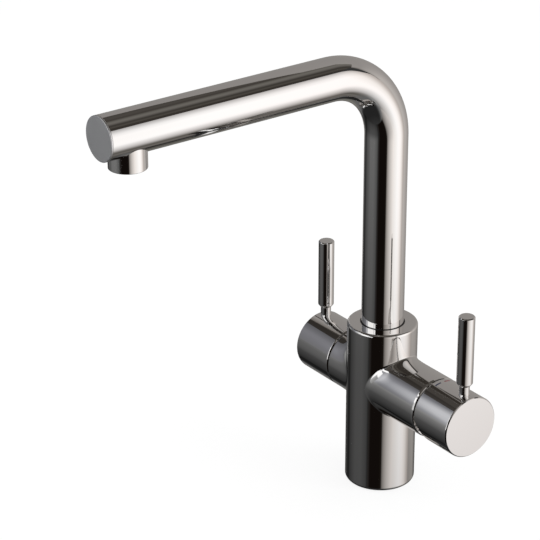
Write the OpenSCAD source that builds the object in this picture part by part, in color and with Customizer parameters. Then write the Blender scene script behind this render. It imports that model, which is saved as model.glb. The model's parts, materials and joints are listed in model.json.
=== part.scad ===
// Boiling water tap: one monobloc body with a swivel spout, a mixer lever on the right arm
// and a self-closing boiling water lever on the left arm, with its fixing kit under the worktop.
// The origin is the centre of the body's base on the worktop. The spout points along -Y.

/* [Body] */
// Diameter of the upright body
body_d = 50; // [49:0.5:56]
// Height of the body's flat top above the worktop
body_h = 124.4; // [122:0.2:135]
// Rounding of the body's bottom edge
foot_round = 3; // [1:0.5:3]
// Rounding of the body's top edge
top_round = 2; // [0.4:0.1:2]
// From the body's flat top down to both arms' axis
arm_drop = 42.9; // [40.8:0.1:44]
// Diameter of the arms and of the hubs on them
arm_d = 44.4; // [43.6:0.2:46]
// From the body's axis to the end face of the mixer arm
mixer_arm_x = 61.8; // [58:0.2:75]
// From the body's axis to the end face of the boiling arm
boiling_arm_x = 33.7; // [32:0.1:45]
// Chamfer around each arm's end face
arm_chamfer = 0.6; // [0.3:0.1:1]
// Radius of the hose cavity in the bottom of the body
cavity_r = 17; // [16.5:0.1:17.5]
// From the arms' axis down to the roof of the hose cavity
cavity_drop = 37.5; // [36:0.5:42]

/* [Spout] */
// Height of the spout's axis above the worktop
spout_z = 315; // [260:5:380]
// Bend radius of the spout along its centreline
bend_r = 50; // [40:1:60]
// Outer diameter of the spout tube
spout_d = 30; // [29.5:0.1:30.5]
// Wall of the spout tube
spout_wall = 1.5; // [1.2:0.1:1.8]
// From the riser's axis to the spout's end face
spout_reach = 228.2; // [190:2:260]
// From the spout's end face back to the nozzle's axis
nozzle_back = 20.7; // [19:0.1:26]
// Outer diameter of the nozzle
nozzle_d = 25.4; // [24.6:0.2:27]
// How far the nozzle stands out below the tube
nozzle_drop = 8.6; // [7:0.2:14]
// Thickness of the end cap's visible disc
cap_t = 1.2; // [0.8:0.1:2.5]
// Swing of the spout to each side
spout_swing = 75; // [45:5:80]

/* [Hubs and levers] */
// Gap between an arm and its hub
hub_gap = 0.8; // [0.6:0.1:1.2]
// Length of the mixer hub
mixer_hub_l = 34.1; // [32:0.1:40]
// Length of the boiling hub
boiling_hub_l = 36.9; // [35:0.1:42]
// Chamfer around the hubs' end faces and inner rims
hub_chamfer = 0.6; // [0.3:0.1:1]
// Depth of the hollow in each hub
hub_hollow = 15.7; // [15.6:0.1:16.4]
// Wall around the hollow in each hub
hub_wall = 2; // [1.6:0.1:2.1]
// From the mixer hub's end face back to its lever's axis
mixer_lever_back = 7.8; // [7:0.1:9]
// From the boiling hub's end face back to its lever's axis
boiling_lever_back = 6.2; // [5:0.1:9]
// Diameter of a lever's grip
grip_d = 11.4; // [9:0.2:13]
// Length of a lever's grip
grip_l = 52; // [35:0.5:70]
// Diameter of a lever's neck
neck_d = 7.4; // [6:0.1:8]
// Length of neck that shows above the hub
neck_l = 7; // [6:0.5:14]
// Angle that the mixer lever tips outwards to full flow
flow_tilt = 20; // [14:1:20]
// Angle of the relief cut under the mixer hub
relief_angle = 24; // [23:0.5:28]

/* [Mixer cartridge] */
// Radius of the cartridge housing
cart_r = 13.9; // [13.6:0.1:14.2]
// From the mixer arm's end face in to the stem's pivot pin
pivot_in = 3.8; // [3.4:0.1:4]
// From the pivot pin in to the ball on the stem
ball_arm = 9; // [8.5:0.1:9.5]
// Thickness of each ceramic disc of the mixer
mixer_disc_t = 3.5; // [3:0.1:4]
// Swing of the mixer lever from warm to hot and to cold
temp_swing = 45; // [30:1:50]

/* [Boiling valve] */
// Depth of the valve's bore in the boiling arm
valve_bore_l = 19.7; // [19.4:0.1:20]
// Radius of the valve's bore in the boiling arm
valve_bore_r = 11; // [10.8:0.1:11.4]
// Turn of the boiling lever from shut to open
boiling_turn = 90; // [60:5:95]
// Wire diameter of the return spring
spring_wire = 1.4; // [1:0.1:1.6]
// Turns of the return spring
spring_turns = 3; // [2:1:4]

/* [Fixing kit] */
// Thickness of the worktop between the base and the clamp
worktop_t = 30; // [20:1:40]
// Diameter of the fixing stud
stud_d = 8; // [6:1:8]
// Length of stud that stands out below the worktop's top
stud_drop = 62; // [60:1:90]
// Radius of the horseshoe clamp plate
clamp_r = 26; // [24:1:30]
// Thickness of the horseshoe clamp plate
clamp_plate_t = 2.5; // [2:0.5:4]
// Thickness of the horseshoe rubber
clamp_rubber_t = 3; // [2:0.5:4]
// Width across the clamp nut's flats
nut_af = 13; // [12:1:14]
// Length of the clamp nut
nut_l = 10; // [6:1:14]

/* [Fits] */
// Radial clearance of a turning fit
run_clear = 0.08; // [0.04:0.01:0.1]
// Radial clearance of screwed, brazed and pushed joints
fit_clear = 0.05; // [0.03:0.01:0.08]
// Clearance between pieces that pass each other
pass_clear = 0.3; // [0.2:0.05:0.4]

/* [Hidden] */
$fn = 96;
// Overrun of a cut past the face that it opens
cut = 1;
half_turn = 180;
body_r = body_d / 2;
arm_z = body_h - arm_drop;
cavity_h = arm_z - cavity_drop;
arm_r = arm_d / 2;
spout_r = spout_d / 2;
spout_ir = spout_r - spout_wall;
grip_r = grip_d / 2;
neck_r = neck_d / 2;
stud_r = stud_d / 2;
// Radius of the inner boiling water tube
boil_r = 4;

// Top of the body: the socket that the spout turns in, and the glide ring around the spout
socket_depth = 19.8;
socket_r = spout_r + run_clear;
socket_z = body_h - socket_depth;
chamber_r = 12.5;
chamber_depth = 3;
chamber_z = socket_z - chamber_depth;
ring_w = 1.3;
ring_r = socket_r + ring_w;
ring_sink = 1.5;
ring_stand = 0.3;

// Spout foot, which turns in the socket
foot_z = socket_z + pass_clear;
foot_top_z = body_h - ring_sink;
foot_plug_l = 14;
foot_bore_r = 10;
foot_web_t = 3;
foot_port_r = 1.8;
foot_ports = 6;
foot_port_at = (foot_bore_r + boil_r) / 2;
seal_t = 1.8;
seal_deep = 1.5;
seal_rises = [2.2, 6.4];
stop_rise = 12;
stop_tip_r = 2;
stop_screw_r = 2.5;
stop_groove_deep = 3;
stop_groove_h = 2 * (stop_tip_r + pass_clear);
stop_groove_r = spout_r - stop_groove_deep;
stop_tip_y = stop_groove_r + pass_clear;
stop_tip_l = socket_r + pass_clear - stop_tip_y;
stop_half_angle = spout_swing + asin((stop_tip_r + pass_clear) / stop_groove_r);
stop_z = foot_z + stop_rise;

// Boiling water tube, on the riser's axis, along the spout and down into the nozzle
boil_wall = 0.8;
boil_foot_l = 6.5;
boil_z = chamber_z - boil_foot_l;
boil_well_l = 14;
boil_well_z = chamber_z - boil_well_l;
boil_seal_drop = 3;
boil_bend_r = 14;

// Nozzle under the spout's end, and the aerator in it
nozzle_y = spout_reach - nozzle_back;
nozzle_r = nozzle_d / 2;
nozzle_z = spout_z - spout_r - nozzle_drop;
nozzle_wall = 1.9;
nozzle_bore_r = nozzle_r - nozzle_wall;
nozzle_chamfer = 0.4;
cap_chamfer = 0.4;
cap_plug_l = 5;
cage_sink = 0.6;
cage_z = nozzle_z + cage_sink;
cage_h = 6.2;
cage_holes = 14;
cage_hole_r = 1.1;
screen_t = 0.6;
screen_z = cage_z + cage_h;
aerator_seal_t = 1.4;
aerator_seal_w = 1.8;
jet_wall = 1.2;
jet_r = boil_r + jet_wall;
jet_h = 5;
cage_hub_r = jet_r + fit_clear;
cage_hole_at = (nozzle_bore_r + cage_hub_r) / 2;

// Threaded inlets, stud and drilled waterways of the body
inlet_r = 4.5;
inlet_l = 12;
mixer_inlet_x = 9;
mixer_inlet_y = 6.6;
boiling_inlet_x = -10.5;
stud_x = -3;
stud_y = 12;
stud_sink = 10;
rise_r = 2.2;
port_r = 2.6;
port_drop = 5;
mixed_port_rise = 7;
mixed_x = 10;
seat_port_r = 3.5;
seat_port_l = 6;
valve_out_r = 1.9;
valve_out_rise = 8.9;

// Mixer cartridge, measured outwards along the mixer arm's axis
pivot_x = mixer_arm_x - pivot_in;
ball_x = pivot_x - ball_arm;
ball_r = 2.9;
ball_socket_r = ball_r + pass_clear;
disc_travel = ball_arm * flow_tilt * PI / 180;
slider_floor = 1;
slider_x = ball_x - ball_socket_r - slider_floor;
slider_cover_share = 0.6;
slider_end = ball_x + ball_r * slider_cover_share;
moving_disc_x = slider_x - mixer_disc_t;
fixed_disc_x = moving_disc_x - mixer_disc_t;
cart_base_t = 4;
cart_seat_x = fixed_disc_x - cart_base_t;
cart_wall = 1.3;
cart_in_r = cart_r - cart_wall;
slider_r = cart_in_r - pass_clear - disc_travel;
slider_half_w = 7;
carrier_x = slider_end + pass_clear;
carrier_flange_t = 1.5;
cart_step_x = carrier_x + carrier_flange_t + pass_clear;
cart_shoulder_x = cart_step_x + cart_wall;
cart_neck_in_r = 9.9;
cart_neck_wall = 1.7;
cart_neck_r = cart_neck_in_r + cart_neck_wall;
cart_mouth_in = 0.8;
cart_mouth_x = mixer_arm_x - cart_mouth_in;
carrier_leg_l = 3.4;
carrier_leg_half_h = 6;
stem_r = 4;
stem_neck_r = 2.2;
stem_neck_l = 4.5;
stem_slot_half_h = 7.3;
pin_r = 1.5;
pin_inset = 0.3;
port_seal_w = 1.3;
port_seal_t = 1;
nut_ring_r = 16;
nut_ring_l = 4.6;
dome_gap = 0.5;
dome_r = arm_r - hub_wall - dome_gap;
dome_wall = 1.5;
dome_l = 14;
dome_skirt_l = 2.4;
dome_base_t = 1.2;
stop_lug_half = 10;
stop_slack = 1.5;
stop_lug_l = 1.6;
stop_lug_h = 1.1;

// Hubs and levers
hub_in_r = arm_r - hub_wall;
mixer_hub_x = mixer_arm_x + hub_gap;
boiling_hub_x = boiling_arm_x + hub_gap;
socket_l = 7;
lever_tail_l = 11;
lever_tail_r = 3;
lever_sink = 1.2;
grip_top_chamfer = 0.7;
grip_foot_h = 2;
grip_foot_step = 0.3;
screw_r = 2;
screw_l = 8;
screw_key_r = 1.1;
screw_key_deep = 2;
mark_from = 4;
mark_span = 13;
mark_w = 1.3;
mark_deep = 0.4;
mark_back = 3.2;

// Boiling valve, measured outwards along the boiling arm's axis
seat_x = boiling_arm_x - valve_bore_l;
seat_seal_t = 1.2;
seat_seal_r = 6.6;
valve_x = seat_x + seat_seal_t;
valve_basket_r = 8.6;
valve_basket_in_r = 6.6;
valve_floor_t = 1.6;
boil_disc_t = 2.6;
boil_port_r = 5.4;
boil_port_in_r = 1.6;
boil_port_span = 76;
window_w = 5;
spindle_r = 4;
spindle_foot_l = 2;
tongue_w = 3;
tongue_h = 0.9;
fixed_x = valve_x + valve_floor_t;
moving_x = fixed_x + boil_disc_t;
spindle_x = moving_x + boil_disc_t;
valve_thread_x = spindle_x + spindle_foot_l + pass_clear;
valve_seal_in = 3;
valve_flange_r = 13.5;
valve_flange_t = 3.5;
valve_neck_r = 6.6;
valve_neck_l = 7.6;
valve_flange_end = boiling_arm_x + valve_flange_t;
valve_neck_end = valve_flange_end + valve_neck_l;
stop_pin_in = 2.6;
stop_pin_x = valve_neck_end - stop_pin_in;
stop_pin_half = asin((pin_r + pass_clear) / spindle_r);
plate_r = 17;
plate_t = 1.5;
spring_r = 10;
spring_leg_angle = 90;
spring_gap = 0.6;
spring_lead = 1.6;
spring_leg_in = 1.2;
spring_hole_r = spring_wire / 2 + pass_clear;
spring_x = valve_flange_end + plate_t + spring_lead;
spring_pitch = spring_wire + spring_gap;
spring_sides = 6;
spring_steps = 16;
boil_hollow_x = boiling_hub_x + hub_hollow;

// Base gasket and fixing kit
gasket_r = 20.6;
gasket_w = 2.2;
gasket_t = 1.5;
clamp_hose_r = inlet_r + pass_clear;
rubber_z = -worktop_t - clamp_rubber_t;
plate_z = rubber_z - clamp_plate_t;
nut_z = plate_z - nut_l;

// Frames of the two arms: local z runs outwards along the arm, and up is local -x
module mixer_axis(x = 0) {
    translate([x, 0, arm_z]) rotate([0, 90, 0]) children();
}
module boiling_axis(x = 0) {
    mirror([1, 0, 0]) mixer_axis(x) children();
}

// A bar from one radius and two heights, a ring, and a sector of a ring
module bar(r, from, to) {
    translate([0, 0, from]) cylinder(h = to - from, r = r);
}
module ring(r, r_in, from, to) {
    difference() {
        bar(r, from, to);
        bar(r_in, from - cut, to + cut);
    }
}
module sector(r, r_in, from, to, middle, half) {
    translate([0, 0, from]) rotate([0, 0, middle - half]) rotate_extrude(angle = 2 * half)
        translate([r_in, 0]) square([r - r_in, to - from]);
}

// One radius swept up the riser, round the bend and along the spout
module spout_sweep(r, from_z, to_y) {
    bar(r, from_z, spout_z - bend_r);
    translate([0, -bend_r, spout_z - bend_r]) rotate([90, 0, 90])
        rotate_extrude(angle = 90) translate([bend_r, 0]) circle(r = r);
    translate([0, -bend_r, spout_z]) rotate([90, 0, 0]) cylinder(h = to_y - bend_r, r = r);
}

// The same for the boiling tube, which turns down at its end into the nozzle
module boil_sweep(r, over) {
    turn_y = nozzle_y - boil_bend_r;
    spout_sweep(r, boil_z - over, turn_y);
    translate([0, -turn_y, spout_z - boil_bend_r]) rotate([90, 0, 90]) rotate([0, 0, 90])
        rotate_extrude(angle = 90) translate([boil_bend_r, 0]) circle(r = r);
    translate([0, -nozzle_y, 0]) bar(r, cage_z - over, spout_z - boil_bend_r);
}

// Upright body with a rounded foot and a slightly rounded top edge
module body_shell() {
    rotate_extrude() {
        square([body_r - foot_round, body_h]);
        translate([0, foot_round]) square([body_r, body_h - foot_round - top_round]);
        translate([0, foot_round]) square([body_r - top_round, body_h - foot_round]);
        translate([body_r - foot_round, foot_round]) circle(r = foot_round);
        translate([body_r - top_round, body_h - top_round]) circle(r = top_round);
    }
}

// One arm: a round bar with a chamfered end face
module arm(end_x) {
    bar(arm_r, 0, end_x - arm_chamfer);
    translate([0, 0, end_x - arm_chamfer])
        cylinder(h = arm_chamfer, r1 = arm_r, r2 = arm_r - arm_chamfer);
}

// Bores for the cartridge and its nut, and for the boiling valve and its seat
module valve_bores() {
    mixer_axis() {
        bar(cart_r + fit_clear, cart_seat_x, mixer_arm_x + cut);
        bar(nut_ring_r + fit_clear, cart_shoulder_x, mixer_arm_x + cut);
    }
    boiling_axis() {
        bar(valve_bore_r, seat_x, boiling_arm_x + cut);
        bar(seat_port_r, seat_x - seat_port_l, seat_x + cut);
    }
}

// A waterway drilled along +X at one height, and one drilled upwards
module cross_way(y, z, r, from, to) {
    translate([0, y, z]) rotate([0, 90, 0]) bar(r, from, to);
}
module rise_way(x, y, from, to) {
    translate([x, y, 0]) bar(rise_r, from, to);
}

// From the hose threads up to the two valves, and from the valves to the spout
module waterways() {
    web_z = cavity_h + inlet_l - cut;
    for (side = [-1, 1]) {
        translate([mixer_inlet_x, side * mixer_inlet_y, 0])
            bar(inlet_r, cavity_h - cut, cavity_h + inlet_l);
        rise_way(mixer_inlet_x, side * mixer_inlet_y, web_z, arm_z - port_drop);
        cross_way(side * mixer_inlet_y, arm_z - port_drop, port_r, mixer_inlet_x - port_r,
            cart_seat_x + cut);
    }
    translate([boiling_inlet_x, 0, 0]) bar(inlet_r, cavity_h - cut, cavity_h + inlet_l);
    rise_way(boiling_inlet_x, 0, web_z, arm_z);
    cross_way(0, arm_z + mixed_port_rise, port_r, mixed_x - port_r, cart_seat_x + cut);
    rise_way(mixed_x, 0, arm_z + mixed_port_rise, chamber_z + cut);
    cross_way(0, arm_z + valve_out_rise, valve_out_r, -seat_x - cut, 0);
}

// Socket for the spout with its chamber, and the boiling tube's well with its seal's groove
module spout_bores() {
    bar(socket_r, socket_z, body_h + cut);
    bar(ring_r, body_h - ring_sink, body_h + cut);
    bar(chamber_r, chamber_z, socket_z + cut);
    bar(boil_r + run_clear, boil_well_z, chamber_z + cut);
    bar(boil_r + seal_deep, chamber_z - boil_seal_drop, chamber_z - boil_seal_drop + seal_t);
    translate([0, 0, stop_z]) rotate([-90, 0, 0]) bar(stop_screw_r, 0, body_r + cut);
}

module body_casting() {
    color("silver") difference() {
        union() {
            body_shell();
            mixer_axis() arm(mixer_arm_x);
            boiling_axis() arm(boiling_arm_x);
        }
        bar(cavity_r, -cut, cavity_h);
        ring(gasket_r, gasket_r - gasket_w, -cut, gasket_t);
        translate([stud_x, stud_y, 0]) bar(stud_r, cavity_h - cut, cavity_h + stud_sink);
        valve_bores();
        waterways();
        spout_bores();
    }
}

module base_gasket() {
    color("dimgray") ring(gasket_r - fit_clear, gasket_r - gasket_w + fit_clear, 0, gasket_t);
}

module fixing_stud() {
    color("lightgray") translate([stud_x, stud_y, 0])
        bar(stud_r - fit_clear, -stud_drop, cavity_h + stud_sink);
}

module spout_glide_ring() {
    color("black") ring(ring_r - fit_clear, socket_r, body_h - ring_sink, body_h + ring_stand);
}

// Grub screw in the back of the body, whose tip runs in the foot's groove
module spout_stop_screw() {
    screw_end = body_r - top_round;
    color("lightgray") translate([0, 0, stop_z]) rotate([-90, 0, 0]) difference() {
        union() {
            bar(stop_tip_r, stop_tip_y, stop_tip_y + stop_tip_l);
            bar(stop_screw_r - fit_clear, stop_tip_y + stop_tip_l, screw_end);
        }
        translate([0, 0, screw_end - screw_key_deep])
            cylinder(h = screw_key_deep + cut, r = screw_key_r, $fn = 6);
    }
}

// Places the children at the cartridge's three ports, cold, hot and mixed
module at_ports() {
    for (p = [[-mixer_inlet_y, -port_drop], [mixer_inlet_y, -port_drop], [0, mixed_port_rise]])
        translate([0, p[0], arm_z + p[1]]) rotate([0, 90, 0]) children();
}

module mixer_cartridge_base() {
    color("whitesmoke") difference() {
        mixer_axis() bar(cart_r, cart_seat_x, fixed_disc_x);
        at_ports() bar(port_r, cart_seat_x - cut, fixed_disc_x + cut);
        at_ports() bar(port_r + port_seal_w, cart_seat_x - cut, cart_seat_x + port_seal_t);
    }
}

module mixer_port_seals() {
    color("black") at_ports()
        ring(port_r + port_seal_w - fit_clear, port_r, cart_seat_x, cart_seat_x + port_seal_t);
}

module mixer_fixed_disc() {
    color("ghostwhite") difference() {
        mixer_axis() bar(cart_in_r - fit_clear, fixed_disc_x, moving_disc_x);
        at_ports() bar(port_r, fixed_disc_x - cut, moving_disc_x + cut);
    }
}

// Housing of the cartridge, with a stepped bore and a window for the carrier's stop lug
module mixer_cartridge_housing() {
    color("gainsboro") mixer_axis() difference() {
        union() {
            bar(cart_r, fixed_disc_x, cart_shoulder_x);
            bar(cart_neck_r, fixed_disc_x, cart_mouth_x);
        }
        bar(cart_in_r, fixed_disc_x - cut, cart_step_x);
        bar(cart_neck_in_r, fixed_disc_x, cart_mouth_x + cut);
        sector(cart_neck_r + cut, cart_neck_in_r - cut, cart_mouth_x - stop_lug_l - pass_clear,
            cart_mouth_x + cut, 180, temp_swing + stop_lug_half + stop_slack);
    }
}

module mixer_retaining_nut() {
    color("goldenrod") mixer_axis()
        ring(nut_ring_r, cart_neck_r + pass_clear, cart_shoulder_x, cart_shoulder_x + nut_ring_l);
}

// Polished dome that closes the arm around the stem, centred on the stem's pivot
module mixer_dome() {
    color("silver") mixer_axis(pivot_x) rotate_extrude() {
        intersection() {
            difference() {
                circle(r = dome_r);
                circle(r = dome_r - dome_wall);
            }
            translate([0, pivot_in]) square([dome_r, dome_l - pivot_in]);
        }
        intersection() {
            circle(r = dome_r);
            translate([nut_ring_r - dome_wall, pivot_in]) square([dome_r, dome_base_t]);
        }
        translate([nut_ring_r - dome_wall, pivot_in - dome_skirt_l])
            square([dome_wall, dome_skirt_l + dome_base_t]);
    }
}

// Turning carrier: a flange with two legs beside the slider, and a slotted neck for the stem
module mixer_carrier() {
    neck_r_run = cart_neck_in_r - run_clear;
    lug_x = cart_mouth_x - stop_lug_l;
    color("steelblue") mixer_axis() difference() {
        union() {
            bar(cart_in_r - run_clear, carrier_x, carrier_x + carrier_flange_t);
            bar(neck_r_run, carrier_x, cart_mouth_x);
            sector(cart_neck_in_r + stop_lug_h, cart_neck_in_r / 2, lug_x, cart_mouth_x, 180,
                stop_lug_half);
            intersection() {
                ring(cart_in_r - run_clear, slider_half_w, carrier_x - carrier_leg_l, carrier_x + cut);
                for (side = [-1, 1])
                    translate([-carrier_leg_half_h, side > 0 ? slider_half_w + pass_clear : -cart_r,
                        carrier_x - carrier_leg_l])
                        cube([2 * carrier_leg_half_h, cart_r - slider_half_w - pass_clear,
                            carrier_leg_l + cut]);
            }
        }
        translate([-stem_slot_half_h, -stem_r - pass_clear, carrier_x - cut])
            cube([2 * stem_slot_half_h, 2 * (stem_r + pass_clear), cart_mouth_x - carrier_x + 2 * cut]);
        translate([0, 0, pivot_x]) rotate([90, 0, 0]) bar(pin_r + fit_clear, -cart_r, cart_r);
    }
}

module mixer_pivot_pin() {
    half_l = cart_neck_in_r - run_clear - pin_inset;
    color("lightgray") mixer_axis(pivot_x) rotate([90, 0, 0]) bar(pin_r, -half_l, half_l);
}

module mixer_moving_disc() {
    color("ghostwhite") mixer_axis() difference() {
        bar(slider_r, moving_disc_x, slider_x);
        translate([port_drop / 2, 0, 0]) bar(port_r + port_drop / 2, moving_disc_x - cut,
            moving_disc_x + mixer_disc_t / 2);
    }
}

// Slider on the moving disc, with flats for the carrier's legs and a socket for the ball
module mixer_disc_slider() {
    color("white") mixer_axis() difference() {
        intersection() {
            bar(slider_r, slider_x, slider_end);
            translate([-slider_r, -slider_half_w, slider_x])
                cube([2 * slider_r, 2 * slider_half_w, slider_end - slider_x]);
        }
        bar(ball_socket_r, slider_x + slider_floor, slider_end + cut);
    }
}

module mixer_stem() {
    stem_end = mixer_hub_x + hub_hollow + socket_l - pass_clear;
    color("gold") mixer_axis() difference() {
        union() {
            translate([0, 0, ball_x]) sphere(r = ball_r);
            bar(stem_neck_r, ball_x, ball_x + stem_neck_l + cut);
            bar(stem_r, ball_x + stem_neck_l, stem_end);
        }
        translate([0, 0, pivot_x]) rotate([90, 0, 0]) bar(pin_r + run_clear, -cart_r, cart_r);
    }
}

// One hub: a chamfered drum with a hollow, a socket for its stem, a hole for its screw and
// a hole for its lever, with local z running outwards from the hub's inner face
module hub(len, lever_back) {
    c = hub_chamfer;
    socket_end = hub_hollow + socket_l;
    difference() {
        rotate_extrude() polygon([[hub_in_r + c, 0], [arm_r - c, 0], [arm_r, c], [arm_r, len - c],
            [arm_r - c, len], [0, len], [0, hub_hollow], [hub_in_r, hub_hollow], [hub_in_r, c]]);
        bar(stem_r + fit_clear, hub_hollow - cut, socket_end);
        translate([0, 0, hub_hollow + socket_l / 2]) rotate([0, 90, 0]) bar(screw_r, 0, arm_r + cut);
        translate([0, 0, len - lever_back]) rotate([0, -90, 0]) {
            bar(lever_tail_r + fit_clear, arm_r - lever_tail_l, arm_r + cut);
            bar(neck_r + fit_clear, arm_r - lever_sink, arm_r + cut);
        }
    }
}

// One lever: a turned pin with a grip, a neck and a tail that screws into its hub
module lever() {
    foot = arm_r + neck_l;
    top = foot + grip_l;
    color("silver") rotate([0, -90, 0]) rotate_extrude() polygon([[0, arm_r - lever_tail_l],
        [lever_tail_r, arm_r - lever_tail_l], [lever_tail_r, arm_r - lever_sink],
        [neck_r, arm_r - lever_sink], [neck_r, foot], [neck_r + grip_foot_step, foot],
        [grip_r, foot + grip_foot_h], [grip_r, top - grip_top_chamfer],
        [grip_r - grip_top_chamfer, top], [0, top]]);
}

// One hub's grub screw, with its key hole
module hub_screw() {
    from = stem_r + fit_clear;
    color("lightgray") translate([0, 0, hub_hollow + socket_l / 2]) rotate([0, 90, 0]) difference() {
        bar(screw_r - fit_clear, from, from + screw_l);
        translate([0, 0, from + screw_l - screw_key_deep])
            cylinder(h = screw_key_deep + cut, r = screw_key_r, $fn = 6);
    }
}

module mark(middle, over = 0) {
    sector(arm_r + over, arm_r - mark_deep, mark_back - over, mark_back + mark_w + over, middle,
        mark_span / 2);
}
cold_angle = 180 + mark_from + mark_span / 2;
hot_angle = 180 - mark_from - mark_span / 2;

// Hub of the mixer, relieved underneath so that it can tip outwards
module mixer_hub() {
    drop = arm_r + cut;
    color("silver") mixer_axis(mixer_hub_x) difference() {
        hub(mixer_hub_l, mixer_lever_back);
        rotate([90, 0, 0]) linear_extrude(height = 2 * drop, center = true)
            polygon([[0, 0], [drop, drop * tan(relief_angle)], [drop, -cut], [0, -cut]]);
        mark(cold_angle, fit_clear);
        mark(hot_angle, fit_clear);
    }
}

module cold_mark() {
    color("royalblue") mixer_axis(mixer_hub_x) mark(cold_angle);
}

module hot_mark() {
    color("firebrick") mixer_axis(mixer_hub_x) mark(hot_angle);
}

module mixer_lever() {
    mixer_axis(mixer_hub_x + mixer_hub_l - mixer_lever_back) lever();
}

module mixer_hub_screw() {
    mixer_axis(mixer_hub_x) hub_screw();
}

module boiling_seat_seal() {
    color("black") boiling_axis() ring(seat_seal_r, seat_port_r, seat_x, valve_x);
}

// Quarter openings that the two ceramic discs of the boiling valve bring together
module quarters(from, to, middle) {
    for (m = [middle, middle + half_turn])
        sector(boil_port_r, boil_port_in_r, from - cut, to + cut, m, boil_port_span / 2);
}

// Brass body of the boiling valve, with a window on each side and the stop pin's slot
module boiling_valve_body() {
    seal_x = valve_thread_x + valve_seal_in;
    slot_x = stop_pin_x - pin_r - pass_clear;
    color("goldenrod") boiling_axis() difference() {
        union() {
            bar(valve_basket_r, valve_x, valve_thread_x);
            bar(valve_bore_r - fit_clear, valve_thread_x, boiling_arm_x);
            bar(valve_flange_r, boiling_arm_x, valve_flange_end);
            bar(valve_neck_r, valve_flange_end, valve_neck_end);
        }
        bar(seat_port_r, valve_x - cut, fixed_x + cut);
        bar(valve_basket_in_r, fixed_x, valve_thread_x);
        bar(spindle_r + run_clear, valve_x, valve_neck_end + cut);
        translate([-window_w / 2, -valve_bore_r, moving_x])
            cube([window_w, 2 * valve_bore_r, boil_disc_t]);
        ring(valve_bore_r + cut, valve_bore_r - seal_deep, seal_x, seal_x + seal_t);
        sector(valve_neck_r + cut, spindle_r - pass_clear, slot_x, valve_neck_end + cut,
            half_turn + boiling_turn / 2, boiling_turn / 2 + stop_pin_half);
    }
}

module boiling_valve_seal() {
    seal_x = valve_thread_x + valve_seal_in;
    color("black") boiling_axis() ring(valve_bore_r - fit_clear, valve_bore_r - seal_deep + fit_clear,
        seal_x, seal_x + seal_t);
}

module boiling_fixed_disc() {
    color("ghostwhite") boiling_axis() difference() {
        bar(valve_basket_in_r - fit_clear, fixed_x, moving_x);
        quarters(fixed_x, moving_x, 0);
    }
}

module boiling_moving_disc() {
    color("ghostwhite") boiling_axis() difference() {
        bar(valve_basket_in_r - run_clear, moving_x, spindle_x);
        quarters(moving_x, spindle_x, 90);
        translate([-valve_basket_r, -tongue_w / 2 - fit_clear, spindle_x - tongue_h - fit_clear])
            cube([2 * valve_basket_r, tongue_w + 2 * fit_clear, boil_disc_t]);
    }
}

module boiling_spindle() {
    foot_r = valve_basket_in_r - pass_clear;
    color("gold") boiling_axis() difference() {
        union() {
            bar(foot_r, spindle_x, spindle_x + spindle_foot_l);
            bar(spindle_r, spindle_x, boil_hollow_x + socket_l - pass_clear);
            translate([-spindle_r, -tongue_w / 2, spindle_x - tongue_h])
                cube([2 * spindle_r, tongue_w, tongue_h + cut]);
        }
        translate([0, 0, stop_pin_x]) rotate([0, -90, 0])
            bar(pin_r + fit_clear, -spindle_r - cut, spindle_r + cut);
    }
}

// Cross pin in the spindle, which stops at both ends of the valve neck's slot
module boiling_stop_pin() {
    color("lightgray") boiling_axis(stop_pin_x) rotate([0, -90, 0])
        bar(pin_r, pin_inset - spindle_r, valve_neck_r - pin_inset);
}

module boiling_spring_plate() {
    plate_x = valve_flange_end;
    color("lightgray") boiling_axis() difference() {
        ring(plate_r, valve_neck_r + fit_clear, plate_x, plate_x + plate_t);
        rotate([0, 0, spring_leg_angle]) translate([spring_r, 0, 0])
            bar(spring_hole_r, plate_x - cut, plate_x + plate_t + cut);
    }
}

// Torsion spring: one leg in the plate, the turns round the valve's neck, one leg in the hub
spring_turn_pts = [for (i = [0 : spring_turns * spring_steps])
    let (a = spring_leg_angle + 360 * i / spring_steps)
    [spring_r * cos(a), spring_r * sin(a), spring_x + spring_pitch * i / spring_steps]];
spring_leg = spring_r * [cos(spring_leg_angle), sin(spring_leg_angle)];
spring_pts = concat([[spring_leg[0], spring_leg[1], spring_x - spring_lead - spring_leg_in]],
    spring_turn_pts, [[spring_leg[0], spring_leg[1], boil_hollow_x + spring_leg_in]]);
spring_last = len(spring_pts) - 1;
function unit(v) = v / norm(v);
function spring_along(i) = unit(spring_pts[min(i + 1, spring_last)] - spring_pts[max(i - 1, 0)]);
function spring_out(i) = unit([spring_pts[i][0], spring_pts[i][1], 0]);
function spring_ring(i) =
    let (t = spring_along(i), u = unit(spring_out(i) - t * (spring_out(i) * t)), v = cross(t, u))
    [for (k = [0 : spring_sides - 1]) let (a = 360 * k / spring_sides)
        spring_pts[i] + (u * cos(a) + v * sin(a)) * spring_wire / 2];

module boiling_return_spring() {
    n = spring_sides;
    points = [for (i = [0 : spring_last]) each spring_ring(i)];
    walls = [for (i = [0 : spring_last - 1], k = [0 : n - 1]) let (m = (k + 1) % n)
        each [[i * n + k, i * n + n + k, i * n + m], [i * n + m, i * n + n + k, i * n + n + m]]];
    ends = [for (k = [1 : n - 2]) each [[0, k, k + 1],
        [spring_last * n, spring_last * n + k + 1, spring_last * n + k]]];
    color("lightsteelblue") boiling_axis() polyhedron(points, concat(walls, ends));
}

module boiling_hub() {
    color("silver") boiling_axis(boiling_hub_x) difference() {
        hub(boiling_hub_l, boiling_lever_back);
        rotate([0, 0, spring_leg_angle]) translate([spring_r, 0, 0])
            bar(spring_hole_r, hub_hollow - cut, hub_hollow + spring_leg_in + pass_clear);
    }
}

module boiling_lever() {
    boiling_axis(boiling_hub_x + boiling_hub_l - boiling_lever_back) lever();
}

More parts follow.
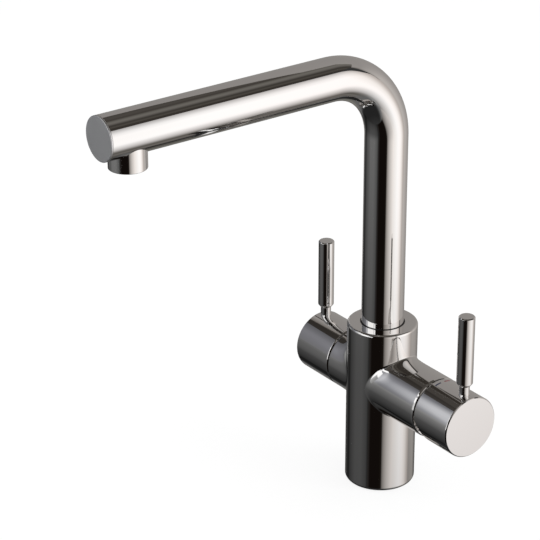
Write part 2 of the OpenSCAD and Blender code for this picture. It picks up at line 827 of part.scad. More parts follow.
module boiling_hub_screw() {
    boiling_axis(boiling_hub_x) hub_screw();
}

// Foot of the spout: grooves for two seals and the stop, and a web that centres the tube
module spout_foot() {
    web_z = foot_top_z - foot_web_t;
    color("goldenrod") difference() {
        union() {
            bar(spout_r, foot_z, foot_top_z);
            bar(spout_ir - fit_clear, foot_top_z, foot_top_z + foot_plug_l);
        }
        bar(foot_bore_r, foot_z - cut, web_z);
        bar(foot_bore_r, foot_top_z, foot_top_z + foot_plug_l + cut);
        bar(boil_r + fit_clear, web_z - cut, foot_top_z + cut);
        for (i = [1 : foot_ports]) rotate([0, 0, 360 * i / foot_ports]) translate([foot_port_at, 0, 0])
            bar(foot_port_r, web_z - cut, foot_top_z + cut);
        for (rise = seal_rises)
            ring(spout_r + cut, spout_r - seal_deep, foot_z + rise, foot_z + rise + seal_t);
        sector(spout_r + cut, stop_groove_r, stop_z - stop_groove_h / 2, stop_z + stop_groove_h / 2,
            90, stop_half_angle);
    }
}

module spout_seals() {
    color("black") for (rise = seal_rises)
        ring(spout_r, spout_r - seal_deep + fit_clear, foot_z + rise, foot_z + rise + seal_t);
}

module spout_tube() {
    end_y = spout_reach - cap_t;
    color("silver") difference() {
        spout_sweep(spout_r, foot_top_z, end_y);
        spout_sweep(spout_ir, foot_top_z - cut, end_y + cut);
        translate([0, -nozzle_y, 0]) bar(nozzle_bore_r, nozzle_z, spout_z);
    }
}

module spout_end_cap() {
    plug_y = spout_reach - cap_t - cap_plug_l;
    color("gray") translate([0, 0, spout_z]) rotate([90, 0, 0]) {
        bar(spout_ir - fit_clear, plug_y, spout_reach - cap_t);
        bar(spout_r, spout_reach - cap_t, spout_reach - cap_chamfer);
        translate([0, 0, spout_reach - cap_chamfer])
            cylinder(h = cap_chamfer, r1 = spout_r, r2 = spout_r - cap_chamfer);
    }
}

module nozzle_housing() {
    color("silver") difference() {
        translate([0, -nozzle_y, 0]) {
            translate([0, 0, nozzle_z])
                cylinder(h = nozzle_chamfer, r1 = nozzle_r - nozzle_chamfer, r2 = nozzle_r);
            bar(nozzle_r, nozzle_z + nozzle_chamfer, spout_z);
        }
        translate([0, 0, spout_z]) rotate([90, 0, 0])
            bar(spout_r + fit_clear, 0, spout_reach + nozzle_r);
        translate([0, -nozzle_y, 0]) bar(nozzle_bore_r, nozzle_z - cut, spout_z + cut);
    }
}

// Holes of the aerator, in one ring about the nozzle's axis
module aerator_holes(from, to) {
    for (i = [1 : cage_holes]) rotate([0, 0, 360 * i / cage_holes]) translate([cage_hole_at, 0, 0])
        bar(cage_hole_r, from - cut, to + cut);
}

module aerator_cage() {
    color("gray") translate([0, -nozzle_y, 0]) difference() {
        ring(nozzle_bore_r - fit_clear, cage_hub_r, cage_z, screen_z);
        aerator_holes(cage_z, screen_z);
    }
}

module aerator_screen() {
    color("lightgray") translate([0, -nozzle_y, 0]) difference() {
        ring(nozzle_bore_r - fit_clear, cage_hub_r, screen_z, screen_z + screen_t);
        aerator_holes(screen_z, screen_z + screen_t);
    }
}

module aerator_seal() {
    seal_z = screen_z + screen_t;
    color("black") translate([0, -nozzle_y, 0])
        ring(nozzle_bore_r - fit_clear, nozzle_bore_r - aerator_seal_w, seal_z, seal_z + aerator_seal_t);
}

module boiling_tube() {
    color("lightsteelblue") difference() {
        boil_sweep(boil_r, 0);
        boil_sweep(boil_r - boil_wall, cut);
    }
}

module boiling_tube_seal() {
    seal_z = chamber_z - boil_seal_drop;
    color("black") ring(boil_r + seal_deep - fit_clear, boil_r + run_clear, seal_z, seal_z + seal_t);
}

module boiling_jet() {
    color("dimgray") translate([0, -nozzle_y, 0]) ring(jet_r, boil_r + fit_clear, cage_z, cage_z + jet_h);
}

// Slot from one point out through the horseshoe's open side, for one hose
module hose_slot(x, y, from, to) {
    translate([x, y, 0]) bar(clamp_hose_r, from, to);
    translate([x - clamp_hose_r, y - 2 * clamp_r, from]) cube([2 * clamp_hose_r, 2 * clamp_r, to - from]);
}

// Horseshoe outline, open towards -Y for the three hoses, with a hole for the stud
module horseshoe(from, to) {
    difference() {
        bar(clamp_r, from, to);
        hose_slot(mixer_inlet_x, mixer_inlet_y, from - cut, to + cut);
        hose_slot(boiling_inlet_x, 0, from - cut, to + cut);
        translate([boiling_inlet_x, -2 * clamp_r, from - cut])
            cube([mixer_inlet_x - boiling_inlet_x, 2 * clamp_r, to - from + 2 * cut]);
        translate([stud_x, stud_y, 0]) bar(stud_r + pass_clear, from - cut, to + cut);
    }
}

module clamp_rubber() {
    color("black") horseshoe(rubber_z, -worktop_t);
}

module clamp_plate() {
    color("lightgray") horseshoe(plate_z, rubber_z);
}

module clamp_nut() {
    color("goldenrod") translate([stud_x, stud_y, 0]) difference() {
        translate([0, 0, nut_z]) cylinder(h = nut_l, r = nut_af / 2 / cos(30), $fn = 6);
        bar(stud_r - fit_clear + run_clear, nut_z - cut, plate_z + cut);
    }
}

body_casting();
base_gasket();
fixing_stud();
spout_glide_ring();
spout_stop_screw();
mixer_cartridge_base();
mixer_port_seals();
mixer_cartridge_housing();
mixer_fixed_disc();
mixer_retaining_nut();
mixer_dome();
mixer_carrier();
mixer_pivot_pin();
mixer_moving_disc();
mixer_disc_slider();
mixer_stem();
mixer_hub();
mixer_lever();
mixer_hub_screw();
cold_mark();
hot_mark();
boiling_seat_seal();
boiling_valve_body();
boiling_valve_seal();
boiling_fixed_disc();
boiling_moving_disc();
boiling_spindle();
boiling_stop_pin();
boiling_spring_plate();
boiling_return_spring();
boiling_hub();
boiling_lever();
boiling_hub_screw();
spout_foot();
spout_seals();
spout_tube();
spout_end_cap();
nozzle_housing();
aerator_cage();
aerator_screen();
aerator_seal();
boiling_tube();
boiling_tube_seal();
boiling_jet();
clamp_rubber();
clamp_plate();
clamp_nut();
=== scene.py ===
import json
import math

import bpy
import numpy as np
from mathutils import Matrix, Vector
from mathutils.geometry import tessellate_polygon


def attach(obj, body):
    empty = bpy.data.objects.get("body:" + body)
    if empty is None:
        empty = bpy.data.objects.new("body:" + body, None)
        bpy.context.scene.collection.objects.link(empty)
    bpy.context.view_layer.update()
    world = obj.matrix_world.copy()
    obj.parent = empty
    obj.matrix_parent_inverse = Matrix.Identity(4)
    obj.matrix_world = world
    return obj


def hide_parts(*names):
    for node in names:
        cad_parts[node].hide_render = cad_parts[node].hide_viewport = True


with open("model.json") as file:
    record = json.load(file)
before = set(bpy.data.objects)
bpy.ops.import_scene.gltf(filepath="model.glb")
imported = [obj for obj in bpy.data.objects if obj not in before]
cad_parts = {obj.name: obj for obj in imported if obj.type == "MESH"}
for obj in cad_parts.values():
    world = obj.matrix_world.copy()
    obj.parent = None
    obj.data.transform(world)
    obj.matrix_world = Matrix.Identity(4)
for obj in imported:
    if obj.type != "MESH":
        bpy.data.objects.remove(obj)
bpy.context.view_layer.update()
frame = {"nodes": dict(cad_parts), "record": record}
nodes = frame["nodes"]
mm = 0.001
turn = 360.0
print("scene: frame loaded,", len(nodes), "CAD nodes")

# camera, fitted to the photo: angles in degrees, lengths in mm, lens for a 36 mm sensor
view = dict(azimuth=53.846, elevation=24.832, roll=-0.144, distance=1518.389, lens=151.84, sensor=36.0,
            target=(2.812, -99.996, 192.185))


def placeCamera(v):
    az, el, roll = (math.radians(v[k]) for k in ("azimuth", "elevation", "roll"))
    back = Vector((math.sin(az) * math.cos(el), -math.cos(az) * math.cos(el), math.sin(el)))
    right = Vector((math.cos(az), math.sin(az), 0.0))
    up = back.cross(right)
    across = right * math.cos(roll) + up * math.sin(roll)
    upward = up * math.cos(roll) - right * math.sin(roll)
    data = bpy.data.cameras.new("camera")
    data.lens, data.sensor_width = v["lens"], v["sensor"]
    data.clip_start, data.clip_end = 0.05, 60.0  # metres
    camera = bpy.data.objects.new("camera", data)
    bpy.context.scene.collection.objects.link(camera)
    place = (Vector(v["target"]) + back * v["distance"]) * mm
    camera.matrix_world = Matrix.Translation(place) @ Matrix((across, upward, back)).transposed().to_4x4()
    bpy.context.scene.camera = camera


placeCamera(view)
print("scene: camera placed")


# nodes and colours

def linear(hexColour):
    parts = [int(hexColour.lstrip("#")[i:i + 2], 16) / 255 for i in (0, 2, 4)]
    return [c / 12.92 if c <= 0.04045 else ((c + 0.055) / 1.055) ** 2.4 for c in parts]


def add(tree, kind, inputs=None, stops=None, **settings):
    made = tree.nodes.new(kind)
    for key, value in settings.items():
        setattr(made, key, value)
    for key, value in (inputs or {}).items():
        if isinstance(value, bpy.types.NodeSocket):
            tree.links.new(value, made.inputs[key])
        else:
            made.inputs[key].default_value = value
    for i, (place, colour) in enumerate(stops or ()):
        mark = made.color_ramp.elements[i] if i < 2 else made.color_ramp.elements.new(place)
        mark.position, mark.color = place, (*colour, 1.0)
    return made


def blank(name):
    made = bpy.data.materials.new(name)
    made.use_nodes = True
    made.node_tree.nodes.clear()
    return made


cloudScale = 60.0  # roughness wanders in clouds of 1 / 60 m = 17 mm
cloudRange = (0.3, 0.7)  # which the noise seldom leaves
coatRough = 0.08  # roughness of a glassy coat


def finish(name, colour, metallic=0.0, rough=0.4, uneven=0.0, grain=None, coat=0.0):
    # uneven is how far roughness wanders either way; grain = (size, height) in mm of the surface's relief
    made = blank(name)
    tree = made.node_tree
    shader = add(tree, "ShaderNodeBsdfPrincipled", {"Metallic": metallic, "Roughness": rough})
    shader.inputs["Base Color"].default_value = (*linear(colour), 1.0)
    if coat:
        shader.inputs["Coat Weight"].default_value = coat
        shader.inputs["Coat Roughness"].default_value = coatRough
    spot = add(tree, "ShaderNodeNewGeometry").outputs["Position"]
    if uneven:
        cloud = add(tree, "ShaderNodeTexNoise", {"Vector": spot, "Scale": cloudScale, "Detail": 4.0})
        spread = add(tree, "ShaderNodeMapRange", {
            "Value": cloud.outputs["Fac"], "From Min": cloudRange[0], "From Max": cloudRange[1],
            "To Min": max(rough - uneven, 0.0), "To Max": rough + uneven})
        tree.links.new(spread.outputs["Result"], shader.inputs["Roughness"])
    if grain:
        size, height = grain
        relief = add(tree, "ShaderNodeTexNoise", {"Vector": spot, "Scale": 1 / (size * mm), "Detail": 2.0})
        bump = add(tree, "ShaderNodeBump", {"Height": relief.outputs["Fac"], "Distance": height * mm,
                                            "Strength": 1.0})
        tree.links.new(bump.outputs["Normal"], shader.inputs["Normal"])
    add(tree, "ShaderNodeOutputMaterial", {"Surface": shader.outputs["BSDF"]})
    return made


# each material is named for what it is; the comment says what that gives the eye, with the usual roughness
# metals have metallic 1.0, the others 0.0, and all keep the default IOR
looks = {
    # bright, nearly neutral mirror; reflections have just soft edges (polished plate 0.02 to 0.05)
    "chrome": finish("polished chrome plate", "#ecebea", 1.0, 0.035, 0.01),
    # even matt sheen of the same plate on a turned face; its rings are too fine to show (0.3 to 0.5)
    "end_cap": finish("faced chrome plate", "#e9eaec", 1.0, 0.42, 0.02),
    # warm yellow metal, highlights softened by turning (0.2 to 0.35); marks drawn at 0.3 mm, really 0.1 mm
    "brass": finish("turned brass", "#dcb667", 1.0, 0.28, 0.06, (0.3, 0.004)),
    # pale grey metal with soft highlights (0.2 to 0.3); marks drawn at 0.25 mm, really 0.1 mm
    "stainless": finish("turned stainless steel", "#c9c7c2", 1.0, 0.25, 0.05, (0.25, 0.003)),
    # duller grey with broad highlights and faint 0.8 mm spangles (0.3 to 0.5)
    "zinc_steel": finish("zinc plated steel", "#c4c6c2", 1.0, 0.38, 0.08, (0.8, 0.006)),
    # darker, bluish wire, smooth from the die (0.25 to 0.35)
    "spring_steel": finish("drawn spring steel", "#a9adb3", 1.0, 0.3, 0.05),
    # near black, soft wide sheen over a 0.4 mm skin (0.5 to 0.7)
    "black_rubber": finish("moulded rubber", "#17171a", 0.0, 0.62, 0.08, (0.4, 0.01)),
    # near black with a satin highlight, as moulded (0.3 to 0.5)
    "black_plastic": finish("black acetal", "#131314", 0.0, 0.38, 0.05),
    # milky white and pale grey with the same satin highlight
    "white_plastic": finish("white acetal", "#e6e4df", 0.0, 0.42, 0.05),
    "grey_plastic": finish("grey acetal", "#b3b5b8", 0.0, 0.4, 0.05),
    # warm white with tight highlights from lapping (0.1 to 0.2)
    "ceramic": finish("lapped alumina", "#efece4", 0.0, 0.18, 0.03),
    # deep coloured, glassy fill, level with the plate (0.1 to 0.2)
    "cold_enamel": finish("blue enamel", "#1a2440", 0.0, 0.2, 0.0, None, 0.6),
    "hot_enamel": finish("red enamel", "#74232f", 0.0, 0.2, 0.0, None, 0.6),
}
for part in frame["record"]["subparts"]:
    node = nodes[part["node"]]
    node.data.materials.clear()
    node.data.materials.append(looks[part["material_slot"]])
print("scene: materials made")


# mesh patches: points and outward normals in mm, welded at the end
weldGrid = 1000  # cells per mm; points in one cell become one
weldShift = 0.637  # of a cell, keeps round sizes off the cells' borders
holeRings = 5  # rows of points from a hole's rim to its window in the grid
tiny = 1e-6
lead = 3.0  # mm before an edge; a corner there only gives the direction, its own row is cut off


class Skin:
    def __init__(self):
        self.points, self.normals, self.faces, self.count = [], [], [], 0

    def add(self, points, normals, faces):
        self.points.append(points.reshape(-1, 3))
        self.normals.append(normals.reshape(-1, 3))
        self.faces.append(np.asarray(faces) + self.count)
        self.count += len(self.points[-1])

    def grid(self, points, normals, keep=None):
        rows, cols = points.shape[:2]
        index = np.arange(rows * cols).reshape(rows, cols)
        quads = np.stack([index[:-1, :-1], index[1:, :-1], index[1:, 1:], index[:-1, 1:]], -1)
        quads = quads.reshape(-1, 4) if keep is None else quads[keep]
        self.add(points, normals, quads)

    def plate(self, loops, normal):
        # a flat face with holes; the first loop is its rim
        flat = np.concatenate(loops)
        tris = tessellate_polygon([[Vector(p) for p in loop] for loop in loops])
        self.add(flat, np.broadcast_to(np.array(normal, float), flat.shape), [(*t, t[0]) for t in tris])

    def build(self, name, body, look, stands):
        points, normals = np.concatenate(self.points), np.concatenate(self.normals)
        faces = np.concatenate(self.faces)
        key = np.floor(points * weldGrid + weldShift).astype(np.int64)
        whole, first, weld = np.unique(key, axis=0, return_index=True, return_inverse=True)
        weld = weld.reshape(-1)
        across = np.cross(points[faces[:, 2]] - points[faces[:, 0]], points[faces[:, 3]] - points[faces[:, 1]])
        tri = faces[:, 3] == faces[:, 0]
        if tri.any():
            f = faces[tri]
            across[tri] = np.cross(points[f[:, 1]] - points[f[:, 0]], points[f[:, 2]] - points[f[:, 0]])
        facing = (across * normals[faces].mean(1)).sum(1)
        faces[facing < 0] = faces[facing < 0][:, ::-1]
        outs, loopNormals = [], []
        for face in faces.tolist():
            ring, used = [], []
            for corner in face:
                at = int(weld[corner])
                if at not in ring:
                    ring.append(at)
                    used.append(corner)
            if len(ring) > 2:
                outs.append(ring)
                loopNormals.extend(used)
        used = np.unique(np.concatenate([np.array(o) for o in outs]))
        renumber = np.full(len(whole), -1)
        renumber[used] = np.arange(len(used))
        mesh = bpy.data.meshes.new(name)
        mesh.from_pydata((points[first[used]] * mm).tolist(), [], [renumber[o].tolist() for o in outs])
        mesh.polygons.foreach_set("use_smooth", [True] * len(outs))
        unit = normals[loopNormals]
        unit = unit / np.linalg.norm(unit, axis=1, keepdims=True)
        mesh.normals_split_custom_set(unit.tolist())
        mesh.materials.append(looks[look])
        piece = bpy.data.objects.new(name, mesh)
        bpy.context.scene.collection.objects.link(piece)
        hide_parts(*stands)
        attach(piece, body)
        return piece


def place(origin, along, side, up):
    # maps (side, along, up) to x, y, z in mm
    axes = np.array([side, along, up], float)
    origin = np.array(origin, float)
    return lambda local, vector=False: local @ axes + (0 if vector else origin)


def profile(points, rounds=None, steps=5):
    # corner points (radius, height) with the solid on the left become rows of (r, h, normal r, normal h)
    points, rows = np.array(points, float), []
    runs = np.diff(points, axis=0)
    runs /= np.linalg.norm(runs, axis=1, keepdims=True)
    facing = np.stack([runs[:, 1], -runs[:, 0]], 1)
    for i, p in enumerate(points):
        if rounds and i in rounds:
            a, b = runs[i - 1], runs[i]
            bend = math.atan2(a[0] * b[1] - a[1] * b[0], a @ b)
            radius, way = rounds[i], math.copysign(1.0, bend)
            start = p - a * radius * math.tan(abs(bend) / 2)
            middle = start - facing[i - 1] * radius * way
            for k in range(steps + 1):
                s, c = math.sin(bend * k / steps), math.cos(bend * k / steps)
                fr, fh = facing[i - 1]
                n = np.array([c * fr - s * fh, s * fr + c * fh])
                rows.append([*(middle + n * radius * way), *n])
            continue
        if i:
            rows.append([*p, *facing[i - 1]])
        if i < len(points) - 1:
            rows.append([*p, *facing[i]])
    return np.array(rows)


def lathe(skin, rows, angles, put):
    rows = np.asarray(rows, float)
    r, h, nr, nh = (rows[:, k, None] for k in range(4))
    s, c = np.sin(np.radians(angles))[None, :], np.cos(np.radians(angles))[None, :]
    one = np.ones_like(s)
    skin.grid(put(np.stack([r * s, h * one, r * c], -1)),
              put(np.stack([nr * s, nh * one, nr * c], -1), True))


def tube(radius, put, way=1.0):
    # the wall of a cylinder by angle in degrees and height; way -1 faces inwards
    def surf(angle, h):
        s, c = np.sin(np.radians(angle)), np.cos(np.radians(angle))
        return (put(np.stack([radius * s, h, radius * c], -1)),
                put(np.stack([way * s, 0 * h, way * c], -1), True))
    return surf


def wall(skin, surf, us, vs, holes=()):
    # a grid with round openings; each hole = ((u0, u1), (v0, v1), centre, rim) and rim(angle) gives its (u, v)
    us, vs, angles = np.asarray(us, float), np.asarray(vs, float), []
    keep = np.ones((len(us) - 1, len(vs) - 1), bool)
    for (u0, u1), (v0, v1), (uc, vc), rim in holes:
        i0, i1 = np.searchsorted(us, [u0 - tiny, u1 - tiny])
        j0, j1 = np.searchsorted(vs, [v0 - tiny, v1 - tiny])
        keep[i0:i1, j0:j1] = False
        a, b = us[i0:i1 + 1], vs[j0:j1 + 1]
        edge = np.concatenate([np.stack([a, np.full_like(a, b[0])], 1),
                               np.stack([np.full_like(b, a[-1]), b], 1)[1:],
                               np.stack([a, np.full_like(a, b[-1])], 1)[::-1][1:],
                               np.stack([np.full_like(b, a[0]), b], 1)[::-1][1:]])
        du, dv = edge[:, 0] - uc, edge[:, 1] - vc
        t = np.degrees(np.unwrap(np.arctan2(du / np.where(du > 0, a[-1] - uc, uc - a[0]),
                                            dv / np.where(dv > 0, b[-1] - vc, vc - b[0]))))
        share = np.linspace(0, 1, holeRings)[:, None, None]
        inner = np.stack(rim(t), -1)[None]
        between = inner * (1 - share) + edge[None] * share
        skin.grid(*surf(between[..., 0], between[..., 1]))
        angles.append(t)
    u, v = np.meshgrid(us, vs, indexing="ij")
    skin.grid(*surf(u, v), keep=keep)
    return angles


def roundHole(radius, cylinder, middle, at):
    # the rim of a round hole in a cylinder's wall, as (angle, height) by angle about the hole
    def rim(t):
        s, c = np.sin(np.radians(t)), np.cos(np.radians(t))
        return middle + np.degrees(np.arcsin(radius * s / cylinder)), at + radius * c
    return rim


def band(skin, a, b, normal, put=None, count=2):
    # straight rows of points from ring a to ring b
    share = np.linspace(0, 1, count)[:, None, None]
    points = a[None] * (1 - share) + b[None] * share
    normals = np.broadcast_to(normal, points.shape)
    skin.grid(*((put(points), put(normals, True)) if put else (points, normals)))


def spin(radius, angles, put, h):
    # a ring of points for plates and hole walls
    s, c = np.sin(np.radians(angles)), np.cos(np.radians(angles))
    return put(np.stack([radius * s, h + 0 * s, radius * c], -1))


upright = place((0, 0, 0), (0, 0, 1), (0, 1, 0), (1, 0, 0))
fine, coarse = np.arange(0, 361, 2.0), np.arange(0, 361, 10.0)


# body: upright cylinder with two arms on cast blends, hose cavity below, spout socket above
# bores are corners (radius, distance from the body's axis); armSpan in degrees and armsFrom in mm bound the
# arms' windows in the wall's grid, and stopRows the stop screw's
body = dict(radius=25.0, height=124.4, foot=3.0, top=2.0, armRadius=22.2, armZ=81.5, armSpan=74, armsFrom=50,
            mixerEnd=61.8, mixerBore=[(16.05, 61.8), (16.05, 53.6), (13.95, 53.6), (13.95, 34.4), (0, 34.4)],
            boilingEnd=33.7, boilingBore=[(11, 33.7), (11, 14), (3.5, 14), (3.5, 8), (0, 8)],
            ring=15.72, ringDeep=1.5, ringEdge=0.2, socket=15.08, socketZ=104.6,
            chamber=12.5, chamberZ=101.6, well=4.08, wellZ=87.6, gasket=(18.4, 20.6), gasketDeep=1.5,
            cavity=17.0, mouthEdge=0.3, roof=44.0, inlet=4.5, inletDeep=12.0,
            inlets=((9.0, 6.6), (9.0, -6.6), (-10.5, 0.0)), stud=4.0, studAt=(-3.0, 12.0), studDeep=10.0,
            stopRadius=2.5, stopZ=116.9, stopRows=(113.1, 120.6), wallRows=63, holeRows=7)


# the cast blend of arm and body, in mm: how far it reaches along the arm on top, at the sides and underneath;
# how far it climbs the body all round (side), and what top, shoulders and underside add to that;
# armHold and bodyHold are the curve's handles, as shares of the way from the corner to its ends;
# its rows crowd towards the body, where it bends most, and turnStep in degrees finds its normals
flare = dict(mixer=(18.0, 14.0, 10.0), boiling=(5.0, 15.0, 5.0), side=0.8, top=0.6, shoulder=1.0, under=0.2,
             armHold=0.2, bodyHold=0.15, rows=37, crowding=1.5, turnStep=0.05)
# the arms' ends: how far along and across a slight taper goes, the chamfer after it, and their roundings;
# collar is the last stretch of the arm, which holds them
ends = dict(mixer=(1.3, 0.25, 0.6, {1: 3.0, 2: 0.6, 3: 0.1}),
            boiling=(0.3, 0.03, 0.4, {1: 1.0, 2: 0.3, 3: 0.1}), collar=3.5, rows=4)


def climbed(t):
    # the blend's upper end, as (side, along, up) from the arm's axis
    s, c = np.sin(np.radians(t)), np.cos(np.radians(t))
    upper = flare["top"] * c ** 2 + flare["shoulder"] * (2 * s * c) ** 4
    out = body["armRadius"] + flare["side"] + np.where(c > 0, upper, flare["under"] * c ** 2)
    return out * s, np.sqrt(body["radius"] ** 2 - (out * s) ** 2), out * c


def armRim(t, middle=0.0):
    y, x, z = climbed(t)
    return middle + np.degrees(np.arctan2(y, x)), z + body["armZ"]


def blendCurve(t, share, reach):
    # a curve from the arm to the body that touches both; also its direction
    s, c = np.sin(np.radians(t)), np.cos(np.radians(t))
    y, x, z = climbed(t)
    corner = (body["radius"] ** 2 - y * body["armRadius"] * s) / x
    top, side, under = reach
    level = (top + under) / 2 + (top - under) / 2 * c
    away = level + (side - level) * s ** 2
    onArm = np.stack([body["armRadius"] * s, corner + away, body["armRadius"] * c], -1)
    middle = np.stack([body["armRadius"] * s, corner, body["armRadius"] * c], -1)
    onBody = np.stack([y, x, z], -1)
    a = middle + (onArm - middle) * flare["armHold"]
    b = middle + (onBody - middle) * flare["bodyHold"]
    rest = 1 - share
    curve = rest ** 3 * onArm + 3 * rest ** 2 * share * a + 3 * rest * share ** 2 * b + share ** 3 * onBody
    return curve, rest ** 2 * (a - onArm) + 2 * rest * share * (b - a) + share ** 2 * (onBody - b)


def arm(skin, t, put, end, bore, side):
    reach, (taper, sink, bevel, rounds) = flare[side], ends[side]
    share = 1 - (1 - np.linspace(0, 1, flare["rows"])[:, None, None]) ** flare["crowding"]
    curve, slope = blendCurve(t, share, reach)
    step = flare["turnStep"]
    across = blendCurve(t + step, share, reach)[0] - blendCurve(t - step, share, reach)[0]
    normal = np.cross(slope, across)
    out = np.stack([np.sin(np.radians(t)), 0 * t + 1, np.cos(np.radians(t))], -1)
    normal *= np.sign((normal * out).sum(-1, keepdims=True))
    normal /= np.linalg.norm(normal, axis=-1, keepdims=True)
    skin.grid(put(curve), put(normal, True))
    r, start, collar = body["armRadius"], curve[0], end - ends["collar"]
    stop = start.copy()
    stop[:, 1] = collar
    out[:, 1] = 0
    band(skin, start, stop, out, put, ends["rows"])
    edge = [(r, collar), (r, end - bevel - taper), (r - sink, end - bevel), (r - sink - bevel, end)]
    lathe(skin, profile(edge + bore, rounds), t, put)


def makeBody():
    b, skin = body, Skin()
    r, h, span, (low, high) = b["radius"], b["height"], b["armSpan"], b["stopRows"]
    around = np.arange(span - 180, span + 181, 2.0)
    wallHeights = np.concatenate([[b["foot"]], np.linspace(b["armsFrom"], low, b["wallRows"]),
                                  np.linspace(low, high, b["holeRows"])[1:], [h - b["top"]]])
    outer, inner = (roundHole(b["stopRadius"], radius, 90, b["stopZ"]) for radius in (r, b["socket"]))
    window = ((span, 180 - span), (low, high), (90, b["stopZ"]))
    holes = [((-span, span), (b["armsFrom"], low), (0, b["armZ"]), armRim),
             ((180 - span, 180 + span), (b["armsFrom"], low), (180, b["armZ"]), lambda t: armRim(t, 180.0)),
             (*window, outer)]
    mixer, boiling, stop = wall(skin, tube(r, upright), around, wallHeights, holes)
    arm(skin, mixer, place((0, 0, b["armZ"]), (1, 0, 0), (0, 1, 0), (0, 0, 1)), b["mixerEnd"],
        b["mixerBore"], "mixer")
    arm(skin, boiling, place((0, 0, b["armZ"]), (-1, 0, 0), (0, -1, 0), (0, 0, 1)), b["boilingEnd"],
        b["boilingBore"], "boiling")
    # socket, with the stop screw's hole through its wall
    socketHeights = np.concatenate([[b["socketZ"]], np.linspace(low, high, b["holeRows"]), [h - b["ringDeep"]]])
    inside, = wall(skin, tube(b["socket"], upright, -1.0), around, socketHeights, [(*window, inner)])
    away = np.stack([np.sin(np.radians(stop)), 0 * stop, -np.cos(np.radians(stop))], -1)
    band(skin, tube(r, upright)(*outer(stop))[0], tube(b["socket"], upright)(*inner(inside))[0], away)
    lathe(skin, profile([(r, h - lead), (r, h), (b["ring"], h), (b["ring"], h - b["ringDeep"]),
                         (b["socket"], h - b["ringDeep"])], {1: b["top"], 2: b["ringEdge"]})[1:], fine, upright)
    lathe(skin, profile([(b["socket"], b["socketZ"]), (b["chamber"], b["socketZ"]),
                         (b["chamber"], b["chamberZ"]), (b["well"], b["chamberZ"]), (b["well"], b["wellZ"]),
                         (0, b["wellZ"])]), fine, upright)
    g0, g1 = b["gasket"]
    lathe(skin, profile([(b["cavity"], b["roof"]), (b["cavity"], 0), (g0, 0), (g0, b["gasketDeep"]),
                         (g1, b["gasketDeep"]), (g1, 0), (r, 0), (r, lead)],
                        {1: b["mouthEdge"], 6: b["foot"]}, 8)[:-1], fine, upright)
    # roof of the hose cavity with the threads of three hoses and the stud
    loops = [spin(b["cavity"], fine[:-1], upright, b["roof"])]
    threads = [(at, b["inlet"], b["inletDeep"]) for at in b["inlets"]]
    threads.append((b["studAt"], b["stud"], b["studDeep"]))
    for (x, y), radius, deep in threads:
        put = place((x, y, 0), (0, 0, 1), (0, 1, 0), (1, 0, 0))
        loops.append(spin(radius, coarse[:-1], put, b["roof"]))
        rows = profile([(0, b["roof"] + deep), (radius, b["roof"] + deep), (radius, b["roof"])])
        lathe(skin, rows[::-1] * [1, 1, -1, -1], coarse, put)  # known fault: these faces look into the metal
    skin.plate(loops, (0, 0, -1))
    return skin.build("tapBody", "base", "chrome", ["body_casting"])


makeBody()

# black ring that the spout glides on, a hairline above the body's top
glide = dict(inner=15.12, outer=15.66, low=122.95, top=124.65, edge=0.12)


def makeGlideRing():
    g, skin = glide, Skin()
    lathe(skin, profile([(g["inner"], g["low"]), (g["outer"], g["low"]), (g["outer"], g["top"]),
                         (g["inner"], g["top"]), (g["inner"], g["low"])], {2: g["edge"], 3: g["edge"]}),
          fine, upright)
    return skin.build("spoutGlideRing", "base", "black_plastic", ["spout_glide_ring"])


makeGlideRing()
print("scene: body built")


# spout: riser, bend and outlet arm in one bent tube
# nozzleSpan in degrees and nozzleRows in mm bound the nozzle's window in the wall's grid
spout = dict(radius=15.0, inner=13.5, foot=122.9, axis=315.0, bend=50.0, end=227.0, edge=0.2, nozzleBack=207.5,
             nozzleBore=10.8, nozzleSpan=62, nozzleRows=(193, 222), riserRows=30, bendRows=46, armRows=40,
             holeRows=21)
along = place((0, 0, spout["axis"]), (0, -1, 0), (1, 0, 0), (0, 0, 1))


def makeSpout():
    p, skin, rims = spout, Skin(), []
    low, e, span, (near, far) = p["axis"] - p["bend"], p["end"], p["nozzleSpan"], p["nozzleRows"]
    a = np.radians(fine)[None, :]
    legs = np.concatenate([np.linspace(p["foot"], low, p["riserRows"])[:-1], np.full(p["bendRows"], low)])
    t = np.radians(np.concatenate([np.zeros(p["riserRows"] - 1), np.linspace(0, 90, p["bendRows"])]))
    n = np.stack([0 * t, np.cos(t), np.sin(t)], -1)[:, None, :]
    centre = np.stack([0 * t, -p["bend"] * (1 - np.cos(t)), legs + p["bend"] * np.sin(t)], -1)[:, None, :]
    out = np.sin(a)[..., None] * np.array([1.0, 0, 0]) + np.cos(a)[..., None] * n
    y = np.concatenate([np.linspace(p["bend"], near, p["armRows"]), np.linspace(near, far, p["holeRows"])[1:],
                        [e - p["edge"]]])
    for radius, way in ((p["radius"], 1.0), (p["inner"], -1.0)):
        skin.grid(centre + radius * out, way * out)
        surf, rim = tube(radius, along, way), roundHole(p["nozzleBore"], radius, 180, p["nozzleBack"])
        window = ((180 - span, 180 + span), (near, far), (180, p["nozzleBack"]), rim)
        turns, = wall(skin, surf, fine, y, [window])
        rims.append(surf(*rim(turns))[0])
    band(skin, *rims, np.stack([np.sin(np.radians(turns)), np.cos(np.radians(turns)), 0 * turns], -1))
    lathe(skin, profile([(p["radius"], e - lead), (p["radius"], e), (p["inner"], e),
                         (p["inner"], e - p["edge"])], {1: p["edge"]})[1:], fine, along)
    lathe(skin, profile([(p["inner"], p["foot"]), (p["radius"], p["foot"])]), fine, upright)
    return skin.build("spoutTube", "spout", "chrome", ["spout_tube"])


makeSpout()

# end cap: a faced disc in the tube's mouth, a hairline apart from the tube's edge
cap = dict(plug=13.45, plugBack=222.0, radius=15.0, face=228.2, backEdge=0.15, round=0.45)


